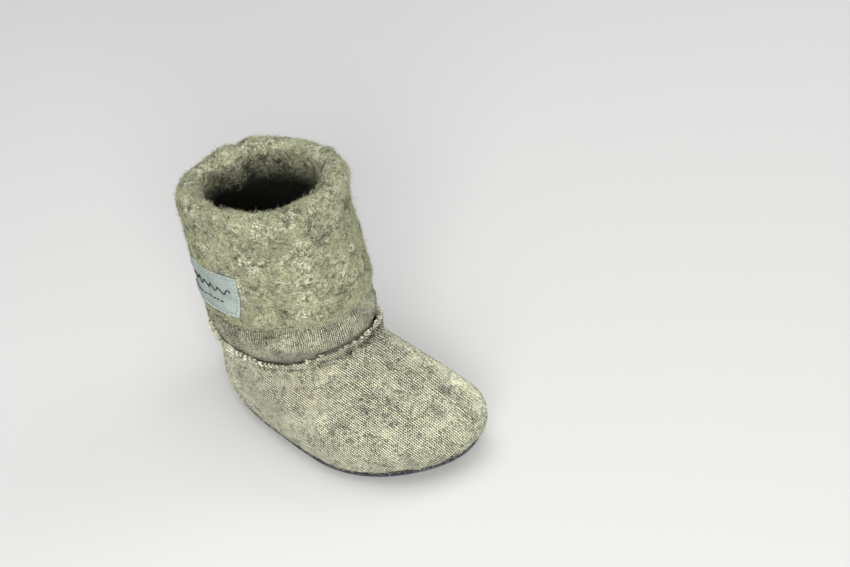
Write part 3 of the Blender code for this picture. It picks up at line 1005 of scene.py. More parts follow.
def tape_group():
    """Woven tape: fine crossing threads on the label's own coordinates, with painted shade at its cut edge
    and in its sewn groove and a painted highlight on its border.
    """
    nodes, given, result = node_group(
        "woven_tape", {"Tint": ("colour", None)}, {"Color": "colour", "Height": "value"})
    flat = nodes.cloth()
    weft, warp = (nodes.maths("SINE", nodes.times(part, 2 * math.pi / TAPE_STEP)) for part in flat[:2])
    weave = nodes.times(weft, warp)
    wear = nodes.span(nodes.noise(nodes.coords(), 240, 3.0, 1.0), 0.25, 0.75, 0.90, 1.06)
    shade = nodes.plus(nodes.times(weave, 0.10), wear)
    halves = (sizes().label_length / 2, sizes().label_height / 2)
    inside = nodes.maths("MINIMUM", *(
        nodes.maths("SUBTRACT", half, nodes.maths("ABSOLUTE", part)) for half, part in zip(halves, flat)))
    # Painted shade in the sewn groove, then the painted highlight on the border and the painted shade at the
    # cut edge
    groove = nodes.times(nodes.span(inside, *GROOVE_IN), nodes.span(inside, *GROOVE_OUT))
    sunk = nodes.rest(nodes.times(groove, GROOVE_SHADE))
    for share in (sunk, nodes.span(inside, *TAPE_BORDER_HIGHLIGHT), nodes.span(inside, *TAPE_CUT_SHADE)):
        shade = nodes.times(shade, share)
    tone = nodes.add("ShaderNodeVectorMath", {"operation": "SCALE"}, Scale=shade)
    nodes.feed(tone.inputs[0], given["Tint"])
    nodes.feed(result["Color"], tone.outputs[0])
    nodes.feed(result["Height"], weave)
    return nodes.tree


# Gloss of the cloths
CLOTH_SPECULAR = 0.15
FLEECE_SPECULAR = 0.05
SHEEN_ROUGH = 0.6


def new_material(name, rough=0.95, sheen=0.0, specular=CLOTH_SPECULAR):
    """A material with its Principled BSDF, for cloth unless told otherwise."""
    material = bpy.data.materials.new(name)
    material.use_nodes = True
    inputs = material.node_tree.nodes["Principled BSDF"].inputs
    inputs["Roughness"].default_value = rough
    inputs["Specular IOR Level"].default_value = specular
    inputs["Sheen Weight"].default_value = sheen
    inputs["Sheen Roughness"].default_value = SHEEN_ROUGH
    return material, Nodes(material.node_tree), inputs


def add_bump(nodes, inputs, height, distance):
    bump = nodes.add("ShaderNodeBump", Height=height, Distance=distance, Strength=1.0)
    nodes.feed(inputs["Normal"], bump.outputs["Normal"])


def rgba(value):
    return (*value, 1.0)


def wool_node(nodes, pale, grey, fleck, cloud):
    """The flecked wool group with a pale and a grey wool."""
    return nodes.group("wool_melange", melange_group, Pale=rgba(pale), Grey=rgba(grey),
                       Dark=rgba(colours().wool_dark), Fleck=fleck, Cloud=cloud)


def knit_material(name, pale, grey, felting, worn_side=1.0, drift=0.35, shade=None):
    """Flecked wool knitted as jersey and worn off on one side; shade is where it darkens, from and to."""
    material, nodes, inputs = new_material(name, sheen=0.10)
    wool = wool_node(nodes, pale, grey, fleck=0.7, cloud=0.5)
    stitch = nodes.group("jersey_stitches", stitch_group, Wale=sizes().wale, Course=sizes().course,
                         Felting=felting, Worn_Side=worn_side, Drift=drift)
    share = nodes.most(stitch["Gap"], nodes.times(stitch["Fleck"], 0.95))
    if shade:
        patchy = nodes.span(wool["Height"], 0.50, 0.80, 0.15, 0.60)
        share = nodes.most(share, nodes.times(patchy, nodes.span(nodes.cloth()[0], *shade, 1.0, 0.0)))
    nodes.feed(inputs["Base Color"], nodes.mix(share, wool["Color"], rgba(colours().wool_dark)))
    height = nodes.plus(nodes.times(wool["Height"], 0.5), stitch["Height"])
    add_bump(nodes, inputs, height, distance=0.35 * MM)
    return material


# Painted shade inside the leg: depth under the rim at which the fleece is darkest, how far over the rim the
# shade starts, and how strong it is at most
INSIDE_DEPTH = 19 * MM
INSIDE_START = 1 * MM
INSIDE_SHADE_SHARE = 0.98


def fleece_material(fold_at):
    """Flecked wool, raised as fleece, darkened down inside the leg by painted shade."""
    tints = colours()
    material, nodes, inputs = new_material("wool_fleece", sheen=0.02, specular=FLEECE_SPECULAR)
    wool = wool_node(nodes, tints.fleece_cloth, tints.wool_mid, fleck=0.8, cloud=0.8)
    # Painted shade that darkens the fleece down inside the leg
    deep = nodes.span(nodes.cloth()[0], fold_at - INSIDE_DEPTH, fold_at + INSIDE_START, INSIDE_SHADE_SHARE, 0.0)
    nodes.feed(inputs["Base Color"], nodes.mix(deep, wool["Color"], rgba(tints.fleece_deep)))
    add_bump(nodes, inputs, wool["Height"], distance=0.9 * MM)
    return material


def felt_material(name, tint, lint):
    material, nodes, inputs = new_material(name, sheen=0.1)
    felt = nodes.group("pressed_felt", felt_group, Tint=rgba(tint), Lint=rgba(lint))
    nodes.feed(inputs["Base Color"], felt["Color"])
    add_bump(nodes, inputs, felt["Height"], distance=0.25 * MM)
    return material


def tape_material():
    material, nodes, inputs = new_material("woven_label", rough=0.7)
    tape = nodes.group("woven_tape", tape_group, Tint=rgba(colours().label_tape))
    nodes.feed(inputs["Base Color"], tape["Color"])
    add_bump(nodes, inputs, tape["Height"], distance=0.05 * MM)
    return material


# Shares of a thread's colour in its warm and cool patches and where it is darker
WARM_SHARES = (1.0, 1.0, 0.92)
COOL_SHARES = (0.86, 0.92, 0.88)
DARK_SHARES = (0.66, 0.66, 0.66)


def plain_material(name, tint):
    """One colour with a little unevenness, for threads and fibres."""
    material, nodes, inputs = new_material(name, rough=0.9)
    coords = nodes.coords()
    shaded = nodes.span(nodes.noise(coords, 700, 1.0), 0.3, 0.7)
    patch = nodes.span(nodes.noise(coords, 130, 2.0, 0.5), 0.40, 0.60)
    warm, cool, darker = (rgba([part * share for part, share in zip(tint, shares)])
                          for shares in (WARM_SHARES, COOL_SHARES, DARK_SHARES))
    nodes.feed(inputs["Base Color"], nodes.mix(shaded, darker, nodes.mix(patch, warm, cool)))
    return material


# Operators

# Way round the leg on its cloth coordinates, and how far up from the lip the band is in its shade
LEG_ROUND = 0.2
LIP_SHADE = 5 * MM


class BOOTIE_OT_foot(bpy.types.Operator):
    """Builds the jersey foot with its rolled lip."""

    bl_idname = "bootie.foot"
    bl_label = "Build foot"

    def execute(self, context):
        outer, inner = foot_faces()
        uv = flat_foot(FOOT_PLACES, np.append(round_angles(), np.pi))
        tints = colours()
        knit = knit_material("wool_jersey", tints.wool_pale, tints.jersey_grey, felting=0.25)
        # The inner face of the foot gets a dark felt as painted shade
        inside = felt_material("jersey_inside", tints.inside_wool, tints.wool_mid)
        rows = len(outer)
        picks = [0] * (rows + LIP_ROWS) + [1] * (rows - LIP_ROWS) + [0] * 2
        foot = shell("foot", outer, inner, uv, [knit, inside], picks)
        place_piece(foot, "wool_jersey", "upper")
        return {"FINISHED"}


class BOOTIE_OT_leg(bpy.types.Operator):
    """Builds the leg tube with its turned-down cuff."""

    bl_idname = "bootie.leg"
    bl_label = "Build leg"

    def execute(self, context):
        smooth, fleecy = leg_faces()
        across = np.broadcast_to(np.linspace(0, LEG_ROUND, ROUND + 1), (LEG_ROWS, ROUND + 1))
        along = arc_lengths(smooth, 0)
        along = np.concatenate([along, along[:, :1]], axis=1)
        fold_at = along[FOLD_START].mean()
        tints = colours()
        lip_at = along[LIP_ROW].mean()
        knit = knit_material("wool_band", tints.band_pale, tints.band_grey, felting=0.5,
                             worn_side=0.0, drift=1.1, shade=(lip_at, lip_at + LIP_SHADE))
        leg = shell("leg", smooth, fleecy, (along, across), [knit, fleece_material(fold_at)],
                    [0] * LEG_ROWS + [1] * (LEG_ROWS + 2))
        place_piece(leg, "wool_fleece", "shaft")
        return {"FINISHED"}


class BOOTIE_OT_sole(bpy.types.Operator):
    """Builds the felt sole and the insole."""

    bl_idname = "bootie.sole"
    bl_label = "Build sole"

    def execute(self, context):
        edge = foot_grid(np.array([0.0]), round_angles())
        edge[..., 2] -= sizes().heel_height * FOOT_LEVELS[0].heel_rise
        self.add_sole(edge)
        self.add_insole(edge)
        return {"FINISHED"}

    def add_sole(self, edge):
        """The navy sole, turned up round the foot."""
        size = sizes()
        rim_top = size.heel_height * FOOT_LEVELS[0].heel_rise - RIM_UNDER_FOOT
        rim = [SoleRing(ring.inset, rim_top + ring.height) for ring in SOLE_RIM]
        section = (*SOLE_UNDER, *rim, SoleRing(SOLE_INSIDE, size.sole_cloth))
        shows = sole_shows()[:, None]
        rings = []
        for ring in section:
            inset = ring.inset - SOLE_OUT * shows * (ring.inset < SOLE_OUTSIDE)
            rings.append(inset_rings(edge, inset) + np.array([0, 0, ring.height]))
        rings = np.concatenate(rings)
        rings[len(SOLE_UNDER):len(SOLE_UNDER) + 2, :, 2] += SOLE_UP * shows[:, 0]
        under, over = shrunk(rings[0], UNDER_SHARES), shrunk(rings[-1], OVER_SHARES)
        tints = colours()
        navy = felt_material("navy_felt", tints.sole_navy, tints.sole_lint)
        sole = stack_object("sole", np.concatenate([under, rings, over]), [navy])
        place_piece(sole, "navy_felt", "outsole")

    def add_insole(self, edge):
        """The plain insole on the sole."""
        size = sizes()
        low = size.sole_cloth + INSOLE_GAP
        base = inset_rings(edge, INSOLE_INSET) + np.array([0, 0, low])
        rim = base + np.array([0, 0, size.insole_cloth * INSOLE_WALL])
        soft = inset_rings(edge, INSOLE_INSET + INSOLE_ROUNDED) + np.array([0, 0, low + size.insole_cloth])
        under, over = shrunk(base[0], INSOLE_UNDER_SHARES), shrunk(soft[0], INSOLE_OVER_SHARES)
        tints = colours()
        # Dark grey insole felt, darkened as painted shade
        felt = felt_material("grey_felt", tints.insole_grey, tints.wool_pale)
        insole = stack_object("insole_pad", np.concatenate([under, base, rim, soft, over]), [felt])
        place_piece(insole, "grey_felt", "insole")


# The label on the cuff: lean, angle round the leg and place down the cuff of its middle, points along and
# down it, and how its face stands off the fleece
LABEL_LEAN = 0.22
LABEL_ANGLE = math.radians(-112.5)
LABEL_PLACE = 2.08
LABEL_POINTS = (97, 53)
LABEL_MARGIN = 0.8 * MM
LABEL_LUMPS = (Lumps(0.10 * MM, 5 * MM, 11),)
LABEL_EDGE_LIFT = 0.55 * MM
LABEL_SWELL = 0.35 * MM
LABEL_SWELL_WAY = 3 * MM
LABEL_SEWN = Ridge(1.4 * MM, 0.7 * MM, 0.22 * MM)

# Its running stitch: inset from the edge, step, share of a step that shows, arch and sink, half thickness
STITCH_INSET = 1.3 * MM
STITCH_STEP = 2.1 * MM
STITCH_SHARE = 0.68
STITCH_POINTS = 6
STITCH_ARCH = 0.16 * MM
STITCH_SINK = 0.04 * MM
STITCH_RADIUS = 0.17 * MM

# Its wavy line and dashes: free ends, height up and down the label, wave and steps, half thickness
WAVE_ENDS = 4 * MM
WAVE_POINTS = 130
WAVE_DOWN = -1.8 * MM
WAVE_SWING = 1.7 * MM
WAVE_STEP = 4.6 * MM
DASH_ENDS = (7 * MM, 9 * MM)
DASH_STEP = 2.3 * MM
DASH_LENGTH = 1.5 * MM
DASH_POINTS = 5
DASH_DOWN = 4.6 * MM
LINE_LIFT = 0.06 * MM
LINE_RADIUS = 0.28 * MM


def on_cuff(fleecy, places, angles):
    """Points and outward directions on the cuff's fleece, by place down the cuff and angle round it."""
    row = CUFF_START + places / (len(CUFF_LEVELS) - 1) * (CUFF_ROWS - 1)
    column = (angles + np.pi) / (2 * np.pi) * ROUND
    first_row, first_column = np.floor(row).astype(int), np.floor(column).astype(int)
    v, u = (row - first_row)[..., None], (column - first_column)[..., None]
    return [between(table, first_row, first_column, v, u) for table in (fleecy, -grid_normals(fleecy))]


def level_drop():
    """Height between two levels of the cuff."""
    return sizes().leg_height * (CUFF_LEVELS[0].height - CUFF_LEVELS[-1].height) / (len(CUFF_LEVELS) - 1)


def label_spot(fleecy, u, v):
    """Points and outward directions of the cuff under the label, u to its back and v down it."""
    angle = LABEL_ANGLE - (u + LABEL_LEAN * v) / (sizes().leg_length / 2)
    return on_cuff(fleecy, LABEL_PLACE + v / level_drop(), angle)


def inside_label(u, v):
    """How far a place is from the label's nearest edge, below zero outside it."""
    size = sizes()
    return np.minimum(size.label_length / 2 - np.abs(u), size.label_height / 2 - np.abs(v))


def under_label():
    """1 for each point of the leg's grid that the label covers, else 0."""
    place = (np.arange(LEG_ROWS) - CUFF_START) / (CUFF_ROWS - 1) * (len(CUFF_LEVELS) - 1)
    v = ((place - LABEL_PLACE) * level_drop())[:, None]
    u = (LABEL_ANGLE - round_angles())[None, :] * sizes().leg_length / 2 - LABEL_LEAN * v
    return inside_label(u, v) > -LABEL_MARGIN


def label_lift(u, v):
    """How far the label's face stands off the fleece: low at its edges and along its sewn line."""
    inside = inside_label(u, v)
    swell = LABEL_SWELL * np.clip(inside / LABEL_SWELL_WAY, 0, 1)
    return LABEL_EDGE_LIFT + swell - ridge(inside, LABEL_SEWN)


def on_label(fleecy, flat, above):
    """Paths over the label's face from flat ones, and their outward directions."""
    u, v = flat[..., 0], flat[..., 1]
    spot, out = label_spot(fleecy, u, v)
    return spot + out * (label_lift(u, v) + above)[..., None], out


class BOOTIE_OT_label(bpy.types.Operator):
    """Builds the woven label with its sewn border, a wavy line and a row of dashes."""

    bl_idname = "bootie.label"
    bl_label = "Build label"

    def execute(self, context):
        size = sizes()
        fleecy = leg_faces()[1]
        along, down = (np.linspace(length / 2, -length / 2, points) for length, points
                       in zip((size.label_length, size.label_height), LABEL_POINTS))
        u, v = np.meshgrid(along, down)
        spot, out = label_spot(fleecy, u, v)
        face = spot + out * (label_lift(u, v) + uneven(spot, LABEL_LUMPS))[..., None]
        back = face - out * size.label_cloth
        label = patch_object("label_patch", face, back, [tape_material()], np.stack([u, v], axis=2))
        place_piece(label, "woven_label", "label")
        sewn_on = [self.add_stitches(fleecy), *self.add_lines(fleecy)]
        return {"FINISHED"}

    def add_stitches(self, fleecy):
        """The running stitch just inside the label's edge."""
        size = sizes()
        corners = np.array([(1, 1), (-1, 1), (-1, -1), (1, -1)], dtype=float)
        corners *= np.array([size.label_length, size.label_height]) / 2 - STITCH_INSET
        starts, ends = [], []
        for first, last in zip(corners, np.roll(corners, -1, axis=0)):
            count = round(np.linalg.norm(last - first) / STITCH_STEP)
            at = np.arange(count)[:, None] / count
            starts.append(first + (last - first) * at)
            ends.append(first + (last - first) * (at + STITCH_SHARE / count))
        shares = np.linspace(0, 1, STITCH_POINTS)[None, :, None]
        flat = np.vstack(starts)[:, None, :] * (1 - shares) + np.vstack(ends)[:, None, :] * shares
        arch = STITCH_ARCH * np.sin(np.pi * shares[..., 0]) ** 0.5 - STITCH_SINK
        paths, out = on_label(fleecy, flat, arch)
        thread = plain_material("label_thread", colours().label_thread)
        radii = np.full(len(paths), STITCH_RADIUS)
        return place_piece(tube_object("label_stitches", paths, out[:, 2], radii, [thread]), "woven_label")

    def add_lines(self, fleecy):
        """A plain wavy line and a row of dashes in dark thread."""
        half = sizes().label_length / 2
        u = np.linspace(-half + WAVE_ENDS, half - WAVE_ENDS, WAVE_POINTS)[None, :]
        wave = np.stack([u, WAVE_DOWN + WAVE_SWING * np.sin(2 * np.pi * u / WAVE_STEP)], axis=2)
        starts = np.arange(-half + DASH_ENDS[0], half - DASH_ENDS[1], DASH_STEP)[:, None]
        u = starts + np.linspace(0, DASH_LENGTH, DASH_POINTS)[None, :]
        dashes = np.stack([u, np.full(u.shape, DASH_DOWN)], axis=2)
        thread = plain_material("label_dark_thread", colours().label_dark)
        lines = []
        for name, flat in (("label_wave", wave), ("label_dashes", dashes)):
            paths, out = on_label(fleecy, flat, LINE_LIFT)
            radii = np.full(len(paths), LINE_RADIUS)
            line = tube_object(name, paths, out[:, flat.shape[1] // 2], radii, [thread])
            lines.append(place_piece(line, "woven_label"))
        return lines


# Loops of yarn on the raw edge: step and jitter along it, how thickly they crowd and where most, the lean of
# their plane up and out, half width, place out and up in millimetres, turn, points and half thickness
LOOP_STEP = 1.5 * MM
LOOP_JITTER = 0.35 * MM
LOOP_CROWD = 0.10
LOOP_LUMPS = (Lumps(0.9, 9 * MM, 9),)
LOOP_FRONT = 0.95
LOOP_ARC = Arc(-10, 42)
LOOP_LEAN = (0.7, 0.6)
LOOP_RADIUS = (0.45, 0.85)
LOOP_OUT = (0.3, 1.3)
LOOP_UP = (-0.2, 0.35)
LOOP_TURN = 290
LOOP_POINTS = 10
LOOP_THICK = (0.30, 0.50)

# Stitches in the groove under the lip: way from the lip, columns from one to the next and columns long,
# points, arch, unevenness and half thickness in millimetres
SEAM_DOWN = 3.2 * MM
SEAM_STEP = 4
SEAM_LENGTH = 2.6
SEAM_POINTS = 5
SEAM_ARCH = 0.12 * MM
SEAM_UNEVEN = 0.2 * MM
SEAM_THICK = (0.14, 0.24)


class BOOTIE_OT_lip(bpy.types.Operator):
    """Builds the loops of the raw edge round the ankle and the stitches that hold it."""

    bl_idname = "bootie.lip"
    bl_label = "Build lip"

    def execute(self, context):
        outer, inner = foot_faces()
        rng = np.random.default_rng(21)
        self.add_loops(outer, inner, rng)
        self.add_seam(outer, rng)
        return {"FINISHED"}

    def add_loops(self, outer, inner, rng):
        """Pale loops of yarn over the raw edge."""
        edge = (outer[-1] + inner[-1]) / 2
        ring = np.vstack([edge, edge[:1]])
        length = arc_lengths(ring[None], 1)[0]
        places = np.arange(0, length[-1] - 1 * MM, LOOP_STEP)
        places = places + rng.normal(0, LOOP_JITTER, len(places))
        crowd = LOOP_CROWD + uneven(edge, LOOP_LUMPS) + LOOP_FRONT * on_arc(LOOP_ARC)
        crowd = np.interp(places, length, np.append(crowd, crowd[0]))
        places = places[rng.random(len(places)) < crowd]
        outward = outer[-1] - inner[-1]
        outward = np.vstack([outward, outward[:1]])
        middle, out = (np.stack([np.interp(places, length, column) for column in table.T], axis=1)
                       for table in (ring, outward))
        out = unit(out)
        each = (len(places), 1)
        axis = np.cross(UP, out) + rng.normal(0, LOOP_LEAN[0], each) * UP
        axis = unit(axis + rng.normal(0, LOOP_LEAN[1], each) * out)
        first = unit(np.cross(axis, UP))
        second = np.cross(axis, first)
        radius = rng.uniform(*LOOP_RADIUS, each) * MM
        middle = middle + out * rng.uniform(*LOOP_OUT, each) * MM
        middle += UP * rng.normal(*LOOP_UP, each) * MM
        turns = np.radians(np.linspace(0, LOOP_TURN, LOOP_POINTS))
        paths = np.stack([middle + radius * (first * math.cos(turn) + second * math.sin(turn))
                          for turn in turns], axis=1)
        thick = rng.uniform(*LOOP_THICK, len(places)) * MM
        yarn = plain_material("edge_yarn", colours().thread)
        place_piece(tube_object("lip_loops", paths, axis, thick, [yarn]), "wool_jersey")

    def add_seam(self, outer, rng):
        """Stitches sunk in the groove under the lip."""
        from_sole = arc_lengths(outer, 0)
        row = np.argmin(np.abs((from_sole[-1] - from_sole).mean(axis=1) - SEAM_DOWN))
        ring = outer[row]
        first = np.arange(0, ROUND - SEAM_STEP + 1, SEAM_STEP)
        shares = np.linspace(0, 1, SEAM_POINTS)
        columns = first[:, None] + shares[None, :] * SEAM_LENGTH
        low = np.floor(columns).astype(int)
        t = (columns - low)[..., None]
        normal = grid_normals(outer)[row][first + 1]
        paths = ring[low] * (1 - t) + ring[low + 1] * t
        paths = paths + normal[:, None, :] * (SEAM_ARCH * np.sin(np.pi * shares)[None, :, None])
        paths[..., 2] += rng.normal(0, SEAM_UNEVEN, (len(first), 1))
        radii = rng.uniform(*SEAM_THICK, len(first)) * MM
        thread = plain_material("seam_thread", colours().wool_mid)
        place_piece(tube_object("lip_stitches", paths, normal, radii, [thread]), "wool_jersey")


# Loose fibres: name, colour, number, length, stand off the cloth, curl, half thickness, bends and where
Fibres = namedtuple("Fibres", "name tint count length stand curl radius steps where")
FLEECE_FIBRES = (
    Fibres("fleece_fibres_pale", "fleece", 12000, 2.4 * MM, 0.40 * MM, 1.2, 0.050 * MM, 3, "pale"),
    Fibres("fleece_curls_pale", "fleece", 10500, 4.0 * MM, 0.40 * MM, 3.6, 0.055 * MM, 4, "pale"),
    Fibres("fleece_fibres_grey", "grey", 1500, 2.4 * MM, 0.35 * MM, 1.5, 0.050 * MM, 3, "outside"),
    Fibres("fleece_fibres_dark", "dark", 7600, 1.9 * MM, 0.35 * MM, 1.6, 0.052 * MM, 3, "dark"),
    Fibres("fleece_flyaways", "fleece", 3900, 2.8 * MM, 0.9 * MM, 1.8, 0.024 * MM, 3, "outside"),
    Fibres("hem_fibres", "fleece", 2600, 3.2 * MM, 0.5 * MM, 1.2, 0.050 * MM, 3, "hem"),
)
BAND_FIBRES = (
    Fibres("band_fibres_pale", "fleece", 4200, 2.0 * MM, 0.25 * MM, 1.0, 0.050 * MM, 2, "band"),
    Fibres("band_fibres_dark", "dark", 4600, 1.3 * MM, 0.20 * MM, 0.8, 0.085 * MM, 2, "band"),
)
JERSEY_FIBRES = (
    Fibres("jersey_fibres_pale", "pale", 4000, 1.5 * MM, 0.16 * MM, 0.8, 0.060 * MM, 2, "pale"),
    Fibres("jersey_fibres_dark", "dark", 6500, 1.15 * MM, 0.10 * MM, 0.6, 0.10 * MM, 2, "dark"),
    Fibres("jersey_flyaways", "pale", 3600, 1.8 * MM, 0.7 * MM, 1.0, 0.022 * MM, 3, "edges"),
    # Dark fibres in the groove under the lip stand for painted shade there
    Fibres("lip_fibres_dark", "dark", 2400, 1.3 * MM, 0.12 * MM, 0.9, 0.075 * MM, 2, "groove"),
)

# How thickly they lie: by row of the leg, in clouds, along the edges and round the bootie
FLEECE_ROWS = ([FOLD_START - 20, FOLD_START, CUFF_START, LEG_ROWS], [0.3, 0.9, 1.0, 1.0])
# Pale fibres lie only on the outside, so inside the leg only dark fibres lie: painted shade there
OUTSIDE_ROWS = ([FOLD_START - 7, FOLD_START + 4], [0.0, 1.0])
FLEECE_CLOUDS = (Lumps(2.0, 4.5 * MM, 12), Lumps(1.2, 10 * MM, 13))
FLEECE_CLOUDED = 0.45
FLEECE_CLEAR = 1.05
HEM_ROWS = 2
BAND_UP, BAND_ROWS = 4, 5
BAND_ALL, BAND_OUTER = 0.5, 1.5
BAND_ARC = Arc(-100, 60)
JERSEY_CLOUDS = (Lumps(1.6, 4 * MM, 14),)
JERSEY_CLOUDED = 0.5
JERSEY_CLEAR = 1.1
SOLE_CROWD = Fade(3.0, 1.5 * MM)
LIP_CROWD = Fade(4.0, 1.3 * MM)
OUTER_FEWER = 0.8
OUTER_ARC = Arc(-105, 45)
# Where dark fibres crowd the groove under the lip as painted shade
GROOVE_CROWD = Ridge(3.2 * MM, 1.1 * MM, 1.0)
GROOVE_ALL = 0.35
GROOVE_ARC = Arc(-15, 50)
GROOVE_CLOUDS = (Lumps(1.3, 5 * MM, 17),)
GROOVE_CLOUDED = 0.55


class BOOTIE_OT_fibres(bpy.types.Operator):
    """Lays loose wool fibres over the fleece, the band, the jersey and their edges."""

    bl_idname = "bootie.fibres"
    bl_label = "Lay fibres"

    def execute(self, context):
        tints = colours()
        wools = {"pale": tints.wool_pale, "fleece": tints.fleece_pale, "grey": tints.wool_mid,
                 "dark": tints.wool_dark}
        materials = {name: plain_material("fibre_" + name, tint) for name, tint in wools.items()}
        rng = np.random.default_rng(5)
        smooth, fleecy = leg_faces()
        outer = foot_faces()[0]
        for kinds, grid, side, where, slot in (
            (FLEECE_FIBRES, fleecy, -1, self.on_fleece(fleecy), "wool_fleece"),
            (BAND_FIBRES, smooth, 1, self.on_band(), "wool_fleece"),
            (JERSEY_FIBRES, outer, 1, self.on_jersey(outer), "wool_jersey"),
        ):
            normals = side * grid_normals(grid)
            for kind in kinds:
                points, directions = scatter(grid, normals, where[kind.where], kind.count, rng)
                paths = fibre_paths(points, directions, kind, rng)
                piece = fibre_object(kind.name, paths, directions, kind.radius, [materials[kind.tint]])
                place_piece(piece, slot)
        return {"FINISHED"}

    def on_fleece(self, fleecy):
        """How thickly fibres lie on each point of the fleece, for each kind of place."""
        rows = np.arange(LEG_ROWS)[:, None]
        weights = np.interp(rows, *FLEECE_ROWS)
        outside = np.interp(rows, *OUTSIDE_ROWS)
        clouds = np.clip(FLEECE_CLOUDED + uneven(fleecy, FLEECE_CLOUDS), 0, 1)
        bare = 1.0 - under_label()
        return {
            # Dark fibres are random flecks outside and painted shade inside the leg, where no pale ones lie
            "pale": weights * (outside * clouds) * bare,
            "outside": weights * outside * bare,
            "dark": weights * (FLEECE_CLEAR - clouds) * bare,
            "hem": bump_shape(rows, LEG_ROWS - 2, HEM_ROWS) * bare,
        }

    def on_band(self):
        """How thickly fibres lie on the band over the lip."""
        band = bump_shape(np.arange(LEG_ROWS), LIP_ROW + BAND_UP, BAND_ROWS)[:, None]
        return {"band": band * (BAND_ALL + BAND_OUTER * on_arc(BAND_ARC))}

    def on_jersey(self, outer):
        """How thickly fibres lie on each point of the foot, for each kind of place."""
        from_sole = arc_lengths(outer, 0)
        from_lip = from_sole[-1:] - from_sole
        edges = 1.0 + fade(from_sole, SOLE_CROWD) + fade(from_lip, LIP_CROWD)
        fewer = 1.0 - OUTER_FEWER * on_arc(OUTER_ARC)
        clouds = np.clip(JERSEY_CLOUDED + uneven(outer, JERSEY_CLOUDS), 0, 1) * edges
        # Dark fibres along the groove under the lip, as painted shade
        groove = ridge(from_lip, GROOVE_CROWD) * (GROOVE_ALL + on_arc(GROOVE_ARC))
        return {
            "pale": clouds * fewer,
            "dark": np.clip(JERSEY_CLEAR - clouds, 0, 1) * fewer,
            "edges": edges,
            "groove": groove * np.clip(GROOVE_CLOUDED + uneven(outer, GROOVE_CLOUDS), 0, 1),
        }


# Lamps: name of their power in the settings, width and place
Lamp = namedtuple("Lamp", "name width place")
LAMPS = (
    Lamp("key", 0.8, (-0.05, -0.05, 1.2)),
    Lamp("front", 0.9, (0.78, -0.90, 0.62)),
    Lamp("fill", 0.7, (0.35, 0.95, 0.75)),
)
LAMP_AIM = Vector((0, 0, 0.05))
FLOOR_HALF = 12.0
NEAREST = 0.05


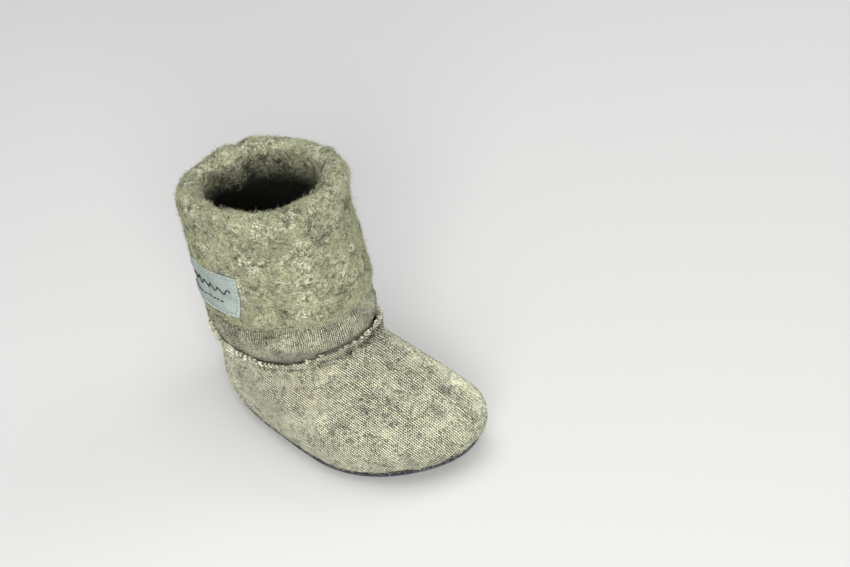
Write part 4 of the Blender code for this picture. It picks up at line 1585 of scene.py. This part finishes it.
class BOOTIE_OT_stage(bpy.types.Operator):
    """Builds the floor, the lights and the camera."""

    bl_idname = "bootie.stage"
    bl_label = "Build stage"

    def execute(self, context):
        scene = context.scene
        scene.view_settings.view_transform = "Standard"
        self.add_floor()
        self.add_camera(scene)
        self.add_world(scene)
        for lamp in LAMPS:
            self.add_lamp(scene, lamp)
        return {"FINISHED"}

    def add_floor(self):
        corners = np.array([(-1, -1, 0), (1, -1, 0), (1, 1, 0), (-1, 1, 0)])
        material, _, inputs = new_material("floor", rough=0.8)
        inputs["Base Color"].default_value = rgba(colours().floor)
        floor = mesh_object("floor", FLOOR_HALF * corners, [(0, 1, 2, 3)], [material])

    def add_camera(self, scene):
        """A camera round the bootie at the stage's angles, rolled about its view."""
        stage = scene.bootie_stage
        turn, tip = stage.azimuth, stage.elevation
        back = Vector((math.sin(turn) * math.cos(tip), -math.cos(turn) * math.cos(tip), math.sin(tip)))
        right = Vector((math.cos(turn), math.sin(turn), 0))
        up = back.cross(right)
        rolled_right = right * math.cos(stage.roll) + up * math.sin(stage.roll)
        rolled_up = up * math.cos(stage.roll) - right * math.sin(stage.roll)
        data = bpy.data.cameras.new("camera")
        data.lens = stage.lens
        data.clip_start = NEAREST
        camera = bpy.data.objects.new("camera", data)
        scene.collection.objects.link(camera)
        axes = Matrix((rolled_right, rolled_up, back)).transposed()
        camera.matrix_world = Matrix.Translation(Vector(stage.aim) + back * stage.distance) @ axes.to_4x4()
        scene.camera = camera

    def add_world(self, scene):
        world = bpy.data.worlds.new("studio")
        world.use_nodes = True
        background = world.node_tree.nodes["Background"]
        background.inputs["Color"].default_value = rgba(colours().sky)
        background.inputs["Strength"].default_value = scene.bootie_stage.world
        scene.world = world

    def add_lamp(self, scene, lamp):
        data = bpy.data.lights.new(lamp.name, "AREA")
        data.energy = getattr(scene.bootie_stage, lamp.name)
        data.color = colours().lamp
        data.size = lamp.width
        light = bpy.data.objects.new(lamp.name, data)
        light.location = lamp.place
        aim = LAMP_AIM - Vector(lamp.place)
        light.rotation_euler = aim.to_track_quat("-Z", "Y").to_euler()
        scene.collection.objects.link(light)


class BOOTIE_PT_panel(bpy.types.Panel):
    """Sizes and colours of the bootie."""

    bl_idname = "BOOTIE_PT_panel"
    bl_label = "Wool slipper bootie"
    bl_space_type = "VIEW_3D"
    bl_region_type = "UI"
    bl_category = "Bootie"

    def draw(self, context):
        layout = self.layout
        for group in (context.scene.bootie_sizes, context.scene.bootie_colours, context.scene.bootie_stage):
            box = layout.box()
            for name in group.bl_rna.properties.keys():
                if name not in ("rna_type", "name"):
                    box.prop(group, name)
        for operator in OPERATORS:
            layout.operator(operator.bl_idname)


OPERATORS = (BOOTIE_OT_foot, BOOTIE_OT_leg, BOOTIE_OT_sole, BOOTIE_OT_label, BOOTIE_OT_lip,
             BOOTIE_OT_fibres, BOOTIE_OT_stage)
CLASSES = (BootieSizes, BootieColours, StageSettings, *OPERATORS, BOOTIE_PT_panel)


def register():
    for item in CLASSES:
        bpy.utils.register_class(item)
    bpy.types.Scene.bootie_sizes = PointerProperty(type=BootieSizes)
    bpy.types.Scene.bootie_colours = PointerProperty(type=BootieColours)
    bpy.types.Scene.bootie_stage = PointerProperty(type=StageSettings)


def unregister():
    del bpy.types.Scene.bootie_stage
    del bpy.types.Scene.bootie_colours
    del bpy.types.Scene.bootie_sizes
    for item in reversed(CLASSES):
        bpy.utils.unregister_class(item)


def main():
    register()
    bpy.ops.bootie.foot()
    bpy.ops.bootie.leg()
    bpy.ops.bootie.sole()
    bpy.ops.bootie.label()
    bpy.ops.bootie.lip()
    bpy.ops.bootie.fibres()
    bpy.ops.bootie.stage()


if __name__ == "__main__":
    main()
